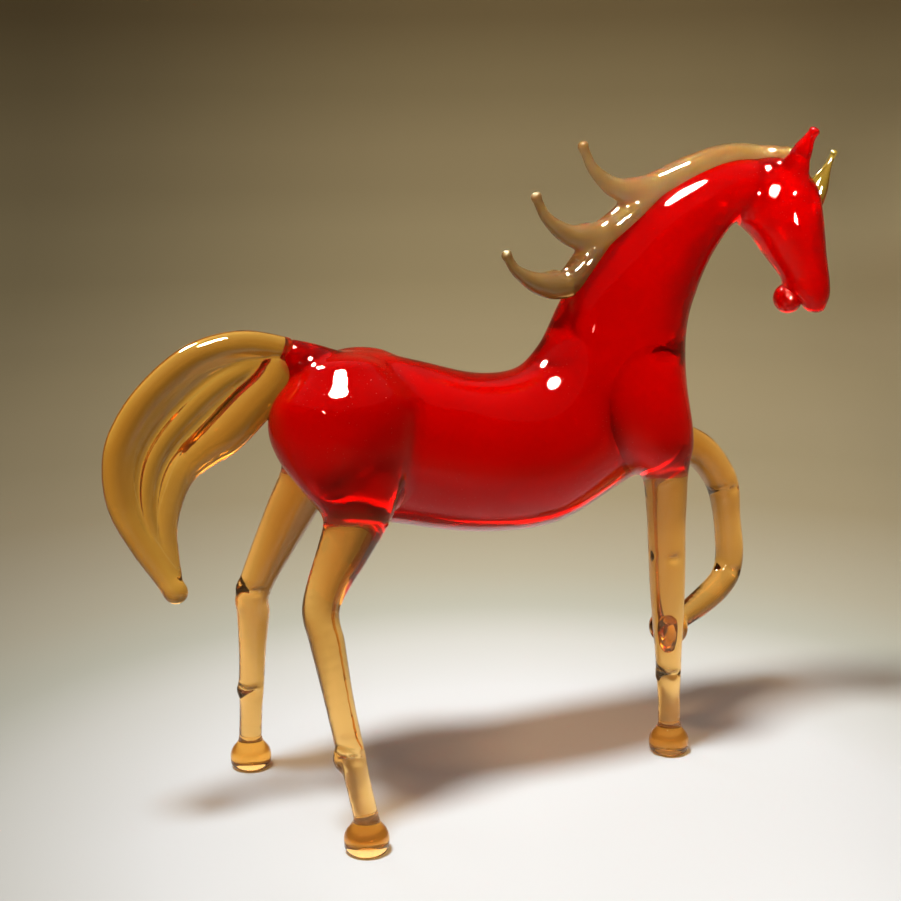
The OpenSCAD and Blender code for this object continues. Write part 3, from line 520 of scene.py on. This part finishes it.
for backShare, croup, bellyShare, deep, half in barrelShares:
    top = Vector((barrel["rump"] + barrel["length"] * backShare, 0, backZ + barrel["croup"] * croup))
    low = Vector((barrel["rump"] + barrel["length"] * bellyShare, 0, barrel["belly"] + barrel["depth"] * deep))
    torsoStations.append(((top + low) / 2, (top - low) / 2, Vector((0, half * barrel["width"], 0))))
for reach, rise, swing, lean, depth, width in neckShares:
    place = Vector((neckRootX + neck["reach"] * reach, -neck["swing"] * swing, backZ + neck["rise"] * rise))
    upright = Vector((-math.sin(math.radians(lean)), 0, math.cos(math.radians(lean))))
    torsoStations.append((place, upright * depth / 2, Vector((0, width / 2, 0))))
torsoEnds = {"startDrop": 0.12 * barrel["width"], "endDrop": 0.2 * neck["poll"]}
cold["torso"] = drawGather("torso_cold", torsoStations, sides=72, cuts=7, **torsoEnds)
print("torso drawn")

headTurn = Matrix.Rotation(math.radians(-42), 3, "Z")


def onHead(stations):
    return [(headTurn @ place + poll, headTurn @ u, headTurn @ v) for place, u, v in stations]


headSizes = {"length": 25, "top": 5, "cheek": 14, "width": 11}
headShares = [  # way down the head, back and face by the depth of the cheek, half width
    (0.03, -0.03, 0.34, 0.18), (0.12, -0.19, 0.56, 0.33), (0.24, -0.31, 0.68, 0.43),
    (0.38, -0.315, 0.73, 0.48), (0.5, -0.085, 0.76, 0.45), (0.64, 0.107, 0.793, 0.38),
    (0.76, 0.28, 0.83, 0.32), (0.824, 0.315, 0.843, 0.31), (0.88, 0.443, 0.84, 0.28), (0.944, 0.55, 0.8, 0.21)]
headRows = [((back + face) / 2 * headSizes["cheek"], 0, headSizes["top"] - down * headSizes["length"],
             (face - back) / 2 * headSizes["cheek"], half * headSizes["width"])
            for down, back, face, half in headShares]
chin = {"place": (5.3, 0, -17.35), "size": (2.35, 2.7, 2.4)}


def swell(stations, grow):
    return [(place, u + u.normalized() * grow, v + v.normalized() * grow) for place, u, v in stations]


headStations = onHead(levelSlices(headRows))
zoneSwell = 1.5  # how far a gather's reach in the melted glass goes beyond its cold form
cold["head"] = drawGather("head_cold", headStations, sides=56, cuts=6, startDrop=0.75, endDrop=1)
headZone = swell(headStations, zoneSwell)
zones["head"] = drawGather("head_zone", headZone, sides=56, cuts=6, startDrop=2.5, endDrop=2.5)


# ears: the left one is straight, the right one bends forward and has its root drawn out of the head itself
leftEar = {"root": Vector((7.7, 2.8, -3)), "tip": Vector((11.04, 4.32, 5.22)), "shares": (
    (0, 2, 1.2), (0.34, 1.7, 1.06), (0.54, 1.2, 0.88), (0.67, 0.84, 0.68), (0.82, 0.55, 0.5),
    (0.943, 0.46, 0.46), (1, 0.56, 0.56))}
leftEarRows = [(*mix(leftEar["root"], leftEar["tip"], t), high, wide) for t, high, wide in leftEar["shares"]]
leftStations = onHead(rodStations(leftEarRows))
forms["left_ear"] = drawGather("left_ear_glass", leftStations, sides=28, cuts=5, startDrop=1, endDrop=0.6)
rightEarRows = [
    (5.2, -2.5, 0.8, 2.7, 1.9), (5.8, -2.6, 3.1, 2.5, 1.7), (6.35, -2.75, 4.9, 2.0, 1.45),
    (6.9, -2.85, 6.0, 1.45, 1.15), (7.55, -2.95, 7.3, 0.98, 0.9), (8.05, -3.0, 8.1, 0.8, 0.78),
    (8.35, -3.0, 8.6, 0.86, 0.86)]
earStations = onHead(rodStations(rightEarRows))
earRoot = earStations[:4]
cold["right_ear"] = drawGather("right_ear_root", earRoot, sides=28, cuts=5, startDrop=1, endDrop=0.5)
rootZone = drawGather("right_ear_zone", swell(earRoot, zoneSwell), sides=28, cuts=5, startDrop=2.5, endDrop=2)
join(zones["head"], rootZone, "UNION")
dropForms([rootZone])
place, u, v = earStations[2]
earTip = [(place, u * 0.85, v * 0.85)] + earStations[3:]
forms["right_ear"] = drawGather("right_ear_glass", earTip, sides=28, cuts=5, startDrop=1, endDrop=0.6)

# mane: each lock lies along the crest of the neck, then leaves it in a rising curl
lockSizes = {"thickness": 3.4, "width": 4.6, "tip": 1.6, "reach": 12, "rise": 6, "forelock": 0.36}
crestLift = 0.25 * lockSizes["thickness"]
crestCuts = 3
crestLine = easeStations(torsoStations, crestCuts)


def crest(t):  # top of the neck, from the withers at 0 to the poll at 1
    at = (len(barrelShares) + (len(neckShares) - 1) * t) * crestCuts
    here, ahead = crestLine[int(at)], crestLine[min(int(at) + 1, len(crestLine) - 1)]
    return mix(here[0] + here[1], ahead[0] + ahead[1], at - int(at))


def lockRow(place, lift, thick, wide):
    return (place.x, place.y, place.z + lift, thick * lockSizes["thickness"] / 2, wide * lockSizes["width"] / 2)


def curlRows(leave, reach, rise):
    rows = []
    curl = [(0, 0, 1.35, 0.95), (0.26, -0.1, 1.35, 0.85), (0.55, 0, 0.95, 0.65), (0.84, 0.42, 0.55, 0.42)]
    for back, up, thick, wide in curl:
        way = Vector((-back * reach * lockSizes["reach"], 0, up * rise * lockSizes["rise"]))
        rows.append(lockRow(crest(leave) + way, 1.6 * crestLift, thick, wide))
    for back, up, bead in ((0.97, 0.85, 0.95), (1, 1, 1.15)):
        way = Vector((-back * reach * lockSizes["reach"], 0, up * rise * lockSizes["rise"] + 1.6 * crestLift))
        rows.append((*(crest(leave) + way), bead * lockSizes["tip"] / 2, bead * lockSizes["tip"] / 2))
    return rows


locks = {  # where it lies on the crest and how full, then where it leaves, its reach and its rise
    "mane_lock_upper": {"lies": ((0.97, 0.75), (0.82, 0.9), (0.68, 1.05)), "curl": (0.55, 1.05, 1.05)},
    "mane_lock_middle": {"lies": ((0.62, 0.6), (0.5, 1.1)), "curl": (0.37, 1, 0.95)},
    "mane_lock_lower": {"lies": ((0.43, 0.6), (0.31, 1.1)), "curl": (0.18, 0.93, 0.72)}}
lockRows = {lock: [lockRow(crest(t), crestLift, full, full) for t, full in way["lies"]] + curlRows(*way["curl"])
            for lock, way in locks.items()}
forelock = headTurn @ Vector((lockSizes["forelock"] * headSizes["cheek"], 0, headSizes["top"])) + poll
lockRows["mane_lock_upper"].insert(0, lockRow(forelock, 0, 0.7, 0.7))
for lock, rows in lockRows.items():
    stations = rodStations(rows)
    cold[lock] = drawGather(lock + "_cold", stations, sides=28, cuts=5, startDrop=0.61, endDrop=0.8)
    zones[lock] = drawGather(lock + "_zone", swell(stations, 2.2), sides=28, cuts=5, startDrop=2.5, endDrop=2.5)
print("head, ears and mane drawn")

# muscles and legs share their seams: the right and left haunch, the right shoulder, and the raised left foreleg
haunch = {"width": 22.5, "reach": 13, "top": croupZ - 0.4 * barrel["croup"], "seam": 10}
hipX = barrel["rump"] + 0.1375 * barrel["length"]
hoofHeight, fetlockHeight, cannon, pastern = 5, 14, 4.3, 3.7
hinds = {
    "right": {"side": -1, "hip": hipX, "lean": 0, "seamZ": barrel["belly"] + 6.5,
              "hoof": hipX - 3, "hock": 35, "back": 4},
    "left": {"side": 1, "hip": hipX + 5, "lean": 5.5, "seamZ": barrel["belly"] + 10,
             "hoof": hipX - 9, "hock": 31.5, "back": 0.5}}
haunchShares = [  # way down to the seam, width, distance from the middle and half depth in mm
    (0, 0.53, 3.6, 5), (0.18, 0.91, 3.6, 8.5), (0.4, 1, 3.5, 9.6), (0.6, 0.91, 4.5, 8.5), (0.8, 0.69, 6.5, 6.5)]


def hindSeam(hind):
    y = hind["side"] * (haunch["reach"] - 0.42 * haunch["seam"])
    return (hind["hip"] - hind["lean"], y, hind["seamZ"], 0.5 * haunch["seam"], 0.44 * haunch["seam"])


def haunchRows(hind):
    rows = [(hind["hip"] - hind["lean"] * t * t, hind["side"] * y, mix(haunch["top"], hind["seamZ"], t),
             width * haunch["width"] / 2, half) for t, width, y, half in haunchShares]
    return rows + [hindSeam(hind)]


def hindLegRows(hind):
    hockZ, hockX, hockWidth, spread = hind["hock"], hind["hoof"] - hind["back"], 5.5, 17.5
    gaskin = mix(haunch["seam"], hockWidth, 0.42)
    seam = hindSeam(hind)
    rows = [seam, (mix(seam[0], hockX, 0.44), hind["side"] * 0.77 * haunch["reach"], mix(seam[2], hockZ, 0.42),
                   gaskin / 2, 0.45 * gaskin)]
    for z, width in ((hockZ, hockWidth), (mix(hockZ, fetlockHeight, 0.25), 0.92 * hockWidth),
                     (mix(hockZ, fetlockHeight, 0.62), cannon), (fetlockHeight, mix(cannon, pastern, 0.4)),
                     (mix(fetlockHeight, hoofHeight, 0.4), pastern), (hoofHeight, pastern)):
        t = (hockZ - z) / (hockZ - hoofHeight)
        y = hind["side"] * mix(0.885 * haunch["reach"], spread, t)
        rows.append((mix(hockX, hind["hoof"], t ** 1.25), y, z, width / 2, 0.47 * width))
    return rows


shoulder = {"reach": 12.25, "width": 16.5, "top": backZ + 0.22 * neck["rise"],
            "seam": 7.2, "seamZ": barrel["belly"] + 7.5}
foreX = neckRootX + 0.5 * neck["reach"]
foreY = shoulder["reach"] - 0.72 * shoulder["seam"]
foreSeam = (foreX, -foreY, shoulder["seamZ"], shoulder["seam"] / 2, shoulder["seam"] / 2)
shoulderShares = [  # way down to the seam, set back, width, reach, half depth
    (0, 0.29, 0.36, 0.62, 0.245), (0.26, 0.28, 0.82, 0.9, 0.375), (0.57, 0.225, 1, 1, 0.425),
    (0.8, 0.135, 0.8, 0.98, 0.39)]
shoulderRows = [(foreX - back * shoulder["width"], shoulder["reach"] * (full - reach),
                 mix(shoulder["top"], shoulder["seamZ"], t),
                 width * shoulder["width"] / 2, full * shoulder["reach"])
                for t, back, width, reach, full in shoulderShares] + [foreSeam]

kneeWidth, kneeHeight, foreHoofAhead = 6, 34, 3
forelegRows = [foreSeam]
for z, width in ((mix(shoulder["seamZ"], kneeHeight, 0.55), 1.04 * kneeWidth), (kneeHeight, kneeWidth),
                 (mix(kneeHeight, fetlockHeight, 0.35), 0.93 * kneeWidth),
                 (mix(kneeHeight, fetlockHeight, 0.8), 1.04 * cannon), (fetlockHeight, 0.96 * cannon),
                 (mix(fetlockHeight, hoofHeight, 0.45), pastern), (hoofHeight, pastern)):
    t = (shoulder["seamZ"] - z) / (shoulder["seamZ"] - hoofHeight)
    y = 0.1 * shoulder["reach"] * t - foreY
    forelegRows.append((foreX + foreHoofAhead * t, y, z, width / 2, 0.48 * width))

raised = {"seamRise": 2.8, "reach": 14, "kneeDrop": 10.8, "drop": 20, "fold": 13, "inward": 7}
raisedSeam = Vector((foreX + 0.515 * shoulder["width"], 1.1 * foreY, shoulder["seamZ"] + raised["seamRise"]))
raisedRise = 0.66 * (shoulder["top"] - raisedSeam.z)
raisedRuns = [  # foot, way, then shares of the way along x, y and z with half height and half width in mm
    (raisedSeam, (-0.76 * shoulder["width"], -0.21 * shoulder["reach"], raisedRise),
     [(*share, high * shoulder["width"] / 2, wide * shoulder["reach"] / 2) for *share, high, wide in (
         (1, 1, 1, 0.68, 0.69), (0.68, 0.54, 0.55, 0.94, 0.82), (0.34, 0.19, 0.2, 0.74, 0.74))]),
    (raisedSeam, (raised["reach"], 0.1 * shoulder["reach"], -raised["kneeDrop"]),
     [(*share, full * shoulder["seam"] / 2, full * shoulder["seam"] / 2) for *share, full in (
         (0, 0, 0, 1.02), (0.55, 0.4, 0.3, 0.86), (0.84, 0.77, 0.65, 0.8))]),
    (raisedSeam + Vector((raised["reach"], 0.1 * shoulder["reach"], -raised["kneeDrop"])),
     (-raised["fold"], -raised["inward"], -raised["drop"]),
     [(*share, width / 2, 0.48 * width) for *share, width in (
         (0, 0, 0, 0.93 * kneeWidth), (-0.08, 0, 0.28, 0.8 * kneeWidth), (-0.14, 0, 0.57, 0.83 * kneeWidth),
         (-0.085, 0.06, 0.76, 0.82 * kneeWidth), (0.13, 0.26, 0.86, 0.8 * kneeWidth),
         (0.49, 0.57, 0.93, 0.76 * kneeWidth), (1, 1, 1, pastern))])]
raisedRows = [(*(foot + Vector([s * w for s, w in zip((a, b, c), way)])), high, wide)
              for foot, way, run in raisedRuns for a, b, c, high, wide in run]
muscleRows = {"right_haunch": haunchRows(hinds["right"]), "left_haunch": haunchRows(hinds["left"]),
              "right_shoulder": shoulderRows}
legRows = {"right_hind_leg": hindLegRows(hinds["right"]), "left_hind_leg": hindLegRows(hinds["left"]),
           "right_foreleg": forelegRows}
for muscle, rows in muscleRows.items():
    stations = levelSlices(rows)
    cold[muscle] = drawGather(muscle + "_cold", stations, sides=56, cuts=7, startDrop=2)
    zones[muscle] = drawGather(muscle + "_zone", swell(stations, zoneSwell), sides=56, cuts=7, startDrop=3)
raisedStations = rodStations(raisedRows)
legStations = {leg: levelSlices(rows) for leg, rows in legRows.items()}
raisedZone = swell(raisedStations[:4], zoneSwell)
zones["left_shoulder"] = drawGather("left_shoulder_zone", raisedZone, sides=56, cuts=7, startDrop=3)
for leg, stations in list(legStations.items()) + [("left_foreleg", raisedStations[3:])]:
    zones[leg] = drawGather(leg + "_zone", swell(stations, zoneSwell), sides=40, cuts=6)


def runOn(stations, last):  # the rod goes on past its last station, and thinner into the muscle past its first
    end, before = (stations[-1], stations[-2]) if last else (stations[0], stations[1])
    run, share = (1.5, 1) if last else (3, 0.8)
    return (end[0] + (end[0] - before[0]).normalized() * run, end[1] * share, end[2] * share)


for leg, stations in legStations.items():
    rod = [runOn(stations, False)] + stations + [runOn(stations, True)]
    cold[leg] = drawGather(leg + "_cold", rod, sides=40, cuts=6)
rod = raisedStations + [runOn(raisedStations, True)]
cold["left_foreleg"] = drawGather("left_foreleg_cold", rod, sides=48, cuts=6,
                                  startDrop=0.16 * shoulder["reach"])
print("muscles and legs drawn")


def hoofStations(place, way):
    way = way.normalized()
    across = (Vector((0, 1, 0)) - way * way.y).normalized()
    side = across.cross(way)
    profile = [(0, 2.6), (0.28, 2.93), (0.8, 3.16), (1.5, 3.24), (2.1, 3.25), (2.7, 3.13), (3.3, 2.82),
               (3.85, 2.4), (4.3, 2.08), (4.7, 1.9), (hoofHeight - seamGap, pastern / 2)]
    return [(place + way * (hoofHeight - z), side * r, across * r) for z, r in profile]


hoofLegs = {"right_hind_hoof": "right_hind_leg", "left_hind_hoof": "left_hind_leg",
            "right_fore_hoof": "right_foreleg"}
for hoof, leg in hoofLegs.items():
    stations = hoofStations(Vector(legRows[leg][-1][:3]), Vector((0, 0, -1)))
    forms[hoof] = drawGather(hoof + "_glass", stations, sides=40, cuts=3)
raisedEnd = easeStations(raisedStations[3:], 6)
stations = hoofStations(raisedEnd[-1][0], raisedEnd[-1][0] - raisedEnd[-2][0])
forms["left_fore_hoof"] = drawGather("left_fore_hoof_glass", stations, sides=40, cuts=3)

# dock and tail: two strands drawn from the dock, by shares of the tail's reach and drop
dock = {"length": 6.5, "diameter": 6, "lift": math.radians(20)}
dockStart = Vector((barrel["rump"] + 0.75 * dock["diameter"], 0, croupZ - 0.5 * barrel["croup"]))
tailRoot = dockStart + Vector((-math.cos(dock["lift"]), 0, math.sin(dock["lift"]))) * dock["length"]
dockRows = [(*mix(dockStart, tailRoot, t), full * dock["diameter"], full * dock["diameter"])
            for t, full in ((0, 0.55), (0.5, 0.52), (1, 0.46))]
tailSizes = {"reach": 25.5, "drop": 33, "strand": 4, "lock": 6.3}
strandShares = [  # back, down, fullness
    (0, -0.03, 0.9), (0.27, -0.07, 0.95), (0.55, -0.02, 1), (0.8, 0.13, 1), (0.95, 0.3, 1), (0.99, 0.445, 0.95),
    (0.965, 0.6, 0.9), (0.86, 0.77, 0.85), (0.745, 0.915, 0.8), (0.69, 0.98, 0.9)]
innerShares = [
    (0.05, 0.02, 0.75), (0.12, 0.12, 0.95), (0.25, 0.22, 1), (0.39, 0.32, 0.97), (0.52, 0.39, 0.78),
    (0.62, 0.47, 0.58), (0.685, 0.58, 0.5), (0.72, 0.705, 0.46), (0.71, 0.825, 0.42), (0.69, 0.93, 0.38)]


def tailRows(shares, diameter, flat):
    return [(tailRoot.x - back * tailSizes["reach"], 0, tailRoot.z - down * tailSizes["drop"],
             full * diameter / 2, flat * full * diameter / 2) for back, down, full in shares]


strandRows = tailRows(strandShares, tailSizes["strand"], 1)
innerRows = tailRows(innerShares, tailSizes["lock"], 0.85)
dockStations = rodStations(dockRows)
cold["dock"] = drawGather("dock_cold", dockStations, sides=36, cuts=6, startDrop=1.5, endDrop=1.5)
zones["dock"] = drawGather("dock_zone", swell(dockStations, 1), sides=36, cuts=6, endDrop=2.5)
for strand, rows, endDrop in (("tail_outer_strand", strandRows, 2), ("tail_inner_lock", innerRows, 0.3)):
    stations = rodStations(rows)
    strandZone = swell(stations, 0.6)
    cold[strand] = drawGather(strand + "_cold", stations, sides=32, cuts=6, startDrop=0.5, endDrop=endDrop)
    zones[strand] = drawGather(strand + "_zone", strandZone, sides=32, cuts=6, startDrop=1, endDrop=endDrop + 1)
print("hooves, dock and tail strands drawn")


# the web between the strands: pressed flat, with flutes that fade at both ends
fan = {"thickness": 2.2, "flute": 0.4, "flutesAngle": 540, "start": 0.4}


def flutedSection(x, y, t):
    flute = fan["flute"] * math.sin(math.pi * t) * math.cos(math.radians(fan["flutesAngle"] * x))
    half = fan["thickness"] / 2 + flute
    return x, math.copysign(half * (1 - abs(x) ** 8) ** 0.5, y) if abs(x) < 0.999 else 0


fanStations = []
for i, (outer, inner) in enumerate(zip(strandRows, innerRows)):
    outer, inner = Vector(outer[:3]), Vector(inner[:3])
    if not i:
        outer = outer.lerp(Vector(strandRows[1][:3]), fan["start"])
        inner = inner.lerp(Vector(innerRows[1][:3]), fan["start"])
    fanStations.append(((outer + inner) / 2, (outer - inner) / 2, Vector((0, 1, 0))))
cold["tail_fan"] = drawGather("tail_fan_cold", fanStations, sides=96, cuts=6, section=flutedSection)
for poly in cold["tail_fan"].data.polygons:
    poly.material_index = 0


def treeOf(mesh):
    return BVHTree.FromPolygons([v.co for v in mesh.vertices], [list(p.vertices) for p in mesh.polygons])


# hot gathers flow into each other: they become one skin, smoothed along the lines where they meet
def melt(name, heat):
    gathers = {node: cold[node] for node in heat["gathers"]}
    hot = copyForm(gathers[heat["gathers"][0]], name)
    for node in heat["gathers"][1:]:
        join(hot, gathers[node], "UNION")
    skin = hot.modifiers.new("skin", "REMESH")
    skin.mode = "VOXEL"
    skin.voxel_size = heat["grain"] * mm
    applyAll(hot)
    trees = [(treeOf(form.data), heat["narrow"].get(node, heat["reach"]) * mm)
             for node, form in gathers.items()]
    seam = hot.vertex_groups.new(name="seam")
    for vert in hot.data.vertices:
        second = sorted(tree.find_nearest(vert.co)[3] / reach for tree, reach in trees)[1]
        if second < 1:
            seam.add([vert.index], 1 - second, "REPLACE")
    soft = hot.vertex_groups.new(name="soft")
    legSeam = {"top": 52, "fade": 6}  # the seams to the legs stay as they are
    for node in heat["soft"]:
        tree = treeOf(gathers[node].data)
        for vert in hot.data.vertices:
            near = 1 - tree.find_nearest(vert.co)[3] / (heat["soft"][node] * mm)
            above = min(1, (vert.co.z / mm - legSeam["top"]) / legSeam["fade"])
            if near > 0 and above > 0:
                soft.add([vert.index], near * above, "ADD")
    softPasses = 500 if heat["soft"] else 0
    for group, passes in (("seam", heat["passes"]), ("soft", softPasses), ("", 4)):
        smooth = hot.modifiers.new("smooth", "SMOOTH")
        smooth.vertex_group = group
        smooth.iterations = passes
    applyAll(hot)
    hot.vertex_groups.clear()
    print(name, "melted, faces:", len(hot.data.polygons))
    return hot


def blob(name, place, axes, sides=40):  # a tool for hot glass, round or cut to a few sides
    bpy.ops.object.select_all(action="DESELECT")
    bpy.ops.mesh.primitive_uv_sphere_add(segments=sides, ring_count=sides // 2, radius=mm)
    tool = bpy.context.object
    tool.name = name
    tool.data.materials.append(hotMark)
    tool.matrix_world = Matrix((Vector(axes[0]), Vector(axes[1]), Vector(axes[2]))).transposed().to_4x4()
    tool.location = place * mm
    bpy.ops.object.transform_apply(location=True, rotation=True, scale=True)
    return tool


# pinched joints: tweezers raise a short fin at the edge of the leg and leave a crease across it on both sides
def pinch(leg, station, side, rise):
    place, u, v = station
    out, across = u.normalized() * side, v.normalized()
    along = out.cross(across)
    edge, half = u.length, v.length
    tweezers = {"finWidth": 1.3, "finLength": 2.5, "finRise": 2,
                "creaseWidth": 1.6, "creaseLength": 2.1, "creaseRise": 2.8, "creaseOut": 0.4, "creaseOff": 0.65}
    finAxes = (across * tweezers["finWidth"], along * tweezers["finLength"], out * tweezers["finRise"])
    fin = blob(leg + "_fin", place + out * (edge + rise - tweezers["finRise"]), finAxes, sides=16)
    join(cold[leg], fin, "UNION")
    dropForms([fin])
    creaseAxes = (across * tweezers["creaseWidth"], along * tweezers["creaseLength"],
                  out * tweezers["creaseRise"])
    for way in (-1, 1):
        at = place + out * edge * tweezers["creaseOut"] + across * way * (half + tweezers["creaseOff"])
        crease = blob(leg + "_crease", at, creaseAxes, sides=4)
        join(cold[leg], crease, "DIFFERENCE")
        dropForms([crease])


pinches = [("right_hind_leg", 5, -1, 0.8), ("left_hind_leg", 2, -1, 0.3), ("left_hind_leg", 5, -1, 0.4),
           ("right_foreleg", 2, -1, 0.2), ("right_foreleg", 5, -1, 0.4)]
for leg, joint, side, rise in pinches:
    pinch(leg, legStations[leg][joint], side, rise)
pinch("left_foreleg", raisedStations[6], 1, 0.4)
pinch("left_foreleg", raisedStations[9], -1, 0.4)
print("joints pinched")

maneNodes = ["mane_lock_upper", "mane_lock_middle", "mane_lock_lower"]
tailNodes = ["tail_outer_strand", "tail_inner_lock", "tail_fan"]
hotNodes = ["torso"] + [node for node in cold if node not in ["torso"] + maneNodes + tailNodes]
body = melt("hot_body", {"gathers": hotNodes, "grain": 0.4, "reach": 6, "passes": 110,
                         "narrow": {"head": 5, "right_ear": 2.4, "dock": 4},
                         "soft": {"right_shoulder": 9, "left_foreleg": 9}})
loose = {"grain": 0.3, "narrow": {}, "soft": {}}
mane = melt("hot_mane", {"gathers": maneNodes, "reach": 2.5, "passes": 60, **loose})
tail = melt("hot_tail", {"gathers": tailNodes, "reach": 2, "passes": 25, **loose})


def cutter(form, name):  # a copy to cut with: every face marked as fused, and a seam's width larger
    tool = copyForm(form, name)
    for poly in tool.data.polygons:
        poly.material_index = 0
    tool.data.materials.clear()
    tool.data.materials.append(fusedMark)
    spare = tool.modifiers.new("spare", "DISPLACE")
    spare.mid_level = 0
    spare.strength = seamGap * mm
    applyAll(tool)
    return tool


# parting what was melted: each gather keeps what lies in its reach, and the last one gets the rest
def part(hot, nodes, core=None):
    rest = copyForm(hot, nodes[-1] + "_glass")
    for node in nodes[:-1]:
        zone = cutter(zones[node], node + "_reach")
        forms[node] = copyForm(rest, node + "_glass")
        join(forms[node], zone, "INTERSECT")
        if core:  # the muscles and the head stop at the torso's own core
            join(forms[node], core, "DIFFERENCE")
        tool = cutter(forms[node], node + "_tool")
        join(rest, tool, "DIFFERENCE")
        dropForms([zone, tool])
    forms[nodes[-1]] = rest


core = cutter(cold["torso"], "torso_core")
bodyNodes = ["head", "dock", "right_haunch", "left_haunch", "right_shoulder", "left_shoulder",
             "right_hind_leg", "left_hind_leg", "right_foreleg", "left_foreleg", "torso"]
part(body, bodyNodes, core)
part(mane, maneNodes)
part(tail, tailNodes)

# each amber rod ends in a taper inside its red muscle, so that the red thins out towards the seam
rodEnds = {
    ("right_hind_leg", "right_haunch"): [
        (-23.65, -8.8, 45.5, 4.6, 4), (-23.65, -8.7, 46.5, 4.6, 4), (-23.65, -7.9, 49, 4.1, 3.5),
        (-23.65, -7, 51.5, 2.9, 2.5), (-23.65, -6.4, 53, 1.6, 1.4)],
    ("left_hind_leg", "left_haunch"): [
        (-24.6, 8.8, 49, 4.6, 4), (-24.15, 8.7, 50, 4.6, 4), (-23.2, 7.9, 52, 4.1, 3.5),
        (-22.3, 7, 54, 2.9, 2.5), (-21.8, 6.4, 55.2, 1.6, 1.4)],
    ("right_foreleg", "right_shoulder"): [
        (28.7, -7.07, 46.5, 3.3, 3.3), (28.6, -7.07, 47.5, 3.3, 3.3), (28.1, -7.1, 50, 2.9, 2.8),
        (27.4, -7.2, 52.5, 2, 1.9), (26.9, -7.2, 54.2, 1, 0.9)]}
for (leg, muscle), rows in rodEnds.items():
    rodEnd = drawGather(leg + "_end", levelSlices(rows), sides=36, cuts=5, endDrop=0.8)
    for poly in rodEnd.data.polygons:
        poly.material_index = 1
    join(rodEnd, core, "DIFFERENCE")
    tool = cutter(rodEnd, leg + "_end_tool")
    join(forms[leg], rodEnd, "UNION")
    join(forms[muscle], tool, "DIFFERENCE")
    dropForms([rodEnd, tool])


def keepLargest(piece):  # crumbs left by the cuts fall away
    bpy.ops.object.select_all(action="DESELECT")
    bpy.context.view_layer.objects.active = piece
    piece.select_set(True)
    bpy.ops.object.mode_set(mode="EDIT")
    bpy.ops.mesh.select_all(action="SELECT")
    bpy.ops.mesh.separate(type="LOOSE")
    bpy.ops.object.mode_set(mode="OBJECT")
    parts = sorted(bpy.context.selected_objects, key=lambda part: len(part.data.vertices))
    name, kept = piece.name, parts.pop()
    dropForms(parts)
    kept.name = name
    return kept


for node in bodyNodes + maneNodes + tailNodes:
    forms[node] = keepLargest(forms[node])
dropForms([core] + list(cold.values()) + list(zones.values()))
print("gathers parted:", len(forms))


lipAxes = [headTurn @ Vector(axis) for axis in Matrix.Diagonal(chin["size"])]
lip = blob("lower_lip", headTurn @ Vector(chin["place"]) + poll, lipAxes)
join(forms["head"], lip, "UNION")
dropForms([lip])
print("lip set")

# the other gathers are seated on the ones that were there before
seats = {"right_ear": ["body"], "left_ear": ["body"], "mane_lock_upper": ["body", "right_ear", "left_ear"]}
seats.update({node: ["body"] for node in maneNodes[1:] + tailNodes})
covering = {"right_ear": forms["right_ear"], "left_ear": forms["left_ear"],
            "body": body, "mane": mane, "tail": tail}
wholes = {name: cutter(form, name + "_whole") for name, form in covering.items()}
for node, others in seats.items():
    for other in others:
        join(forms[node], wholes[other], "DIFFERENCE")
print("gathers seated")


# glaze: how far each corner lies outside the glass that covers it, in mm, and -1 on a fused face
covers = {node: ["right_ear", "left_ear", "mane", "tail"] for node in bodyNodes}
covers.update({"right_ear": ["mane"], "left_ear": ["mane"]})


def markGlaze(node):
    piece = forms[node].data
    far = [1.0] * len(piece.vertices)
    for cover in covers.get(node, []):
        tree = treeOf(wholes[cover].data)
        for i, vert in enumerate(piece.vertices):
            place, normal, _, distance = tree.find_nearest(vert.co)
            if (vert.co - place).dot(normal) < 0:
                distance = -distance
            far[i] = min(far[i], distance / mm)
    fused = [piece.materials[poly.material_index] == fusedMark for poly in piece.polygons]
    values = []
    for poly, mark in zip(piece.polygons, fused):
        values += [-1.0 if mark else far[vert] for vert in poly.vertices]
    glaze = piece.attributes.new("glaze", "FLOAT", "CORNER")
    glaze.data.foreach_set("value", values)
    for poly in piece.polygons:
        poly.material_index = 0


# fade: how thin the red lies over the amber, 1 at the seam and 0 where the muscle is full
seamFades = {"right_haunch": (46.5, 4.5), "left_haunch": (50, 4), "right_shoulder": (47.5, 4)}
for node, (height, reach) in seamFades.items():
    piece = forms[node].data
    fade = piece.attributes.new("fade", "FLOAT", "POINT")
    thinness = [max(0, 1 - (vert.co.z / mm - height) / reach) ** 2 for vert in piece.vertices]
    fade.data.foreach_set("value", thinness)

slots = {entry["node"]: entry["material_slot"] for entry in frame["record"]["subparts"]}
for node, piece in forms.items():
    markGlaze(node)
    piece.data.materials.clear()
    piece.data.materials.append(glasses[slots[node]])
    bpy.ops.object.select_all(action="DESELECT")
    bpy.context.view_layer.objects.active = piece
    piece.select_set(True)
    bpy.ops.object.shade_smooth_by_angle(angle=math.radians(50))
    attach(piece, "root")
    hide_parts(node)
dropForms(list(wholes.values()) + [body, mane, tail])
print("pieces dressed:", len(forms), "faces:", sum(len(piece.data.polygons) for piece in forms.values()))
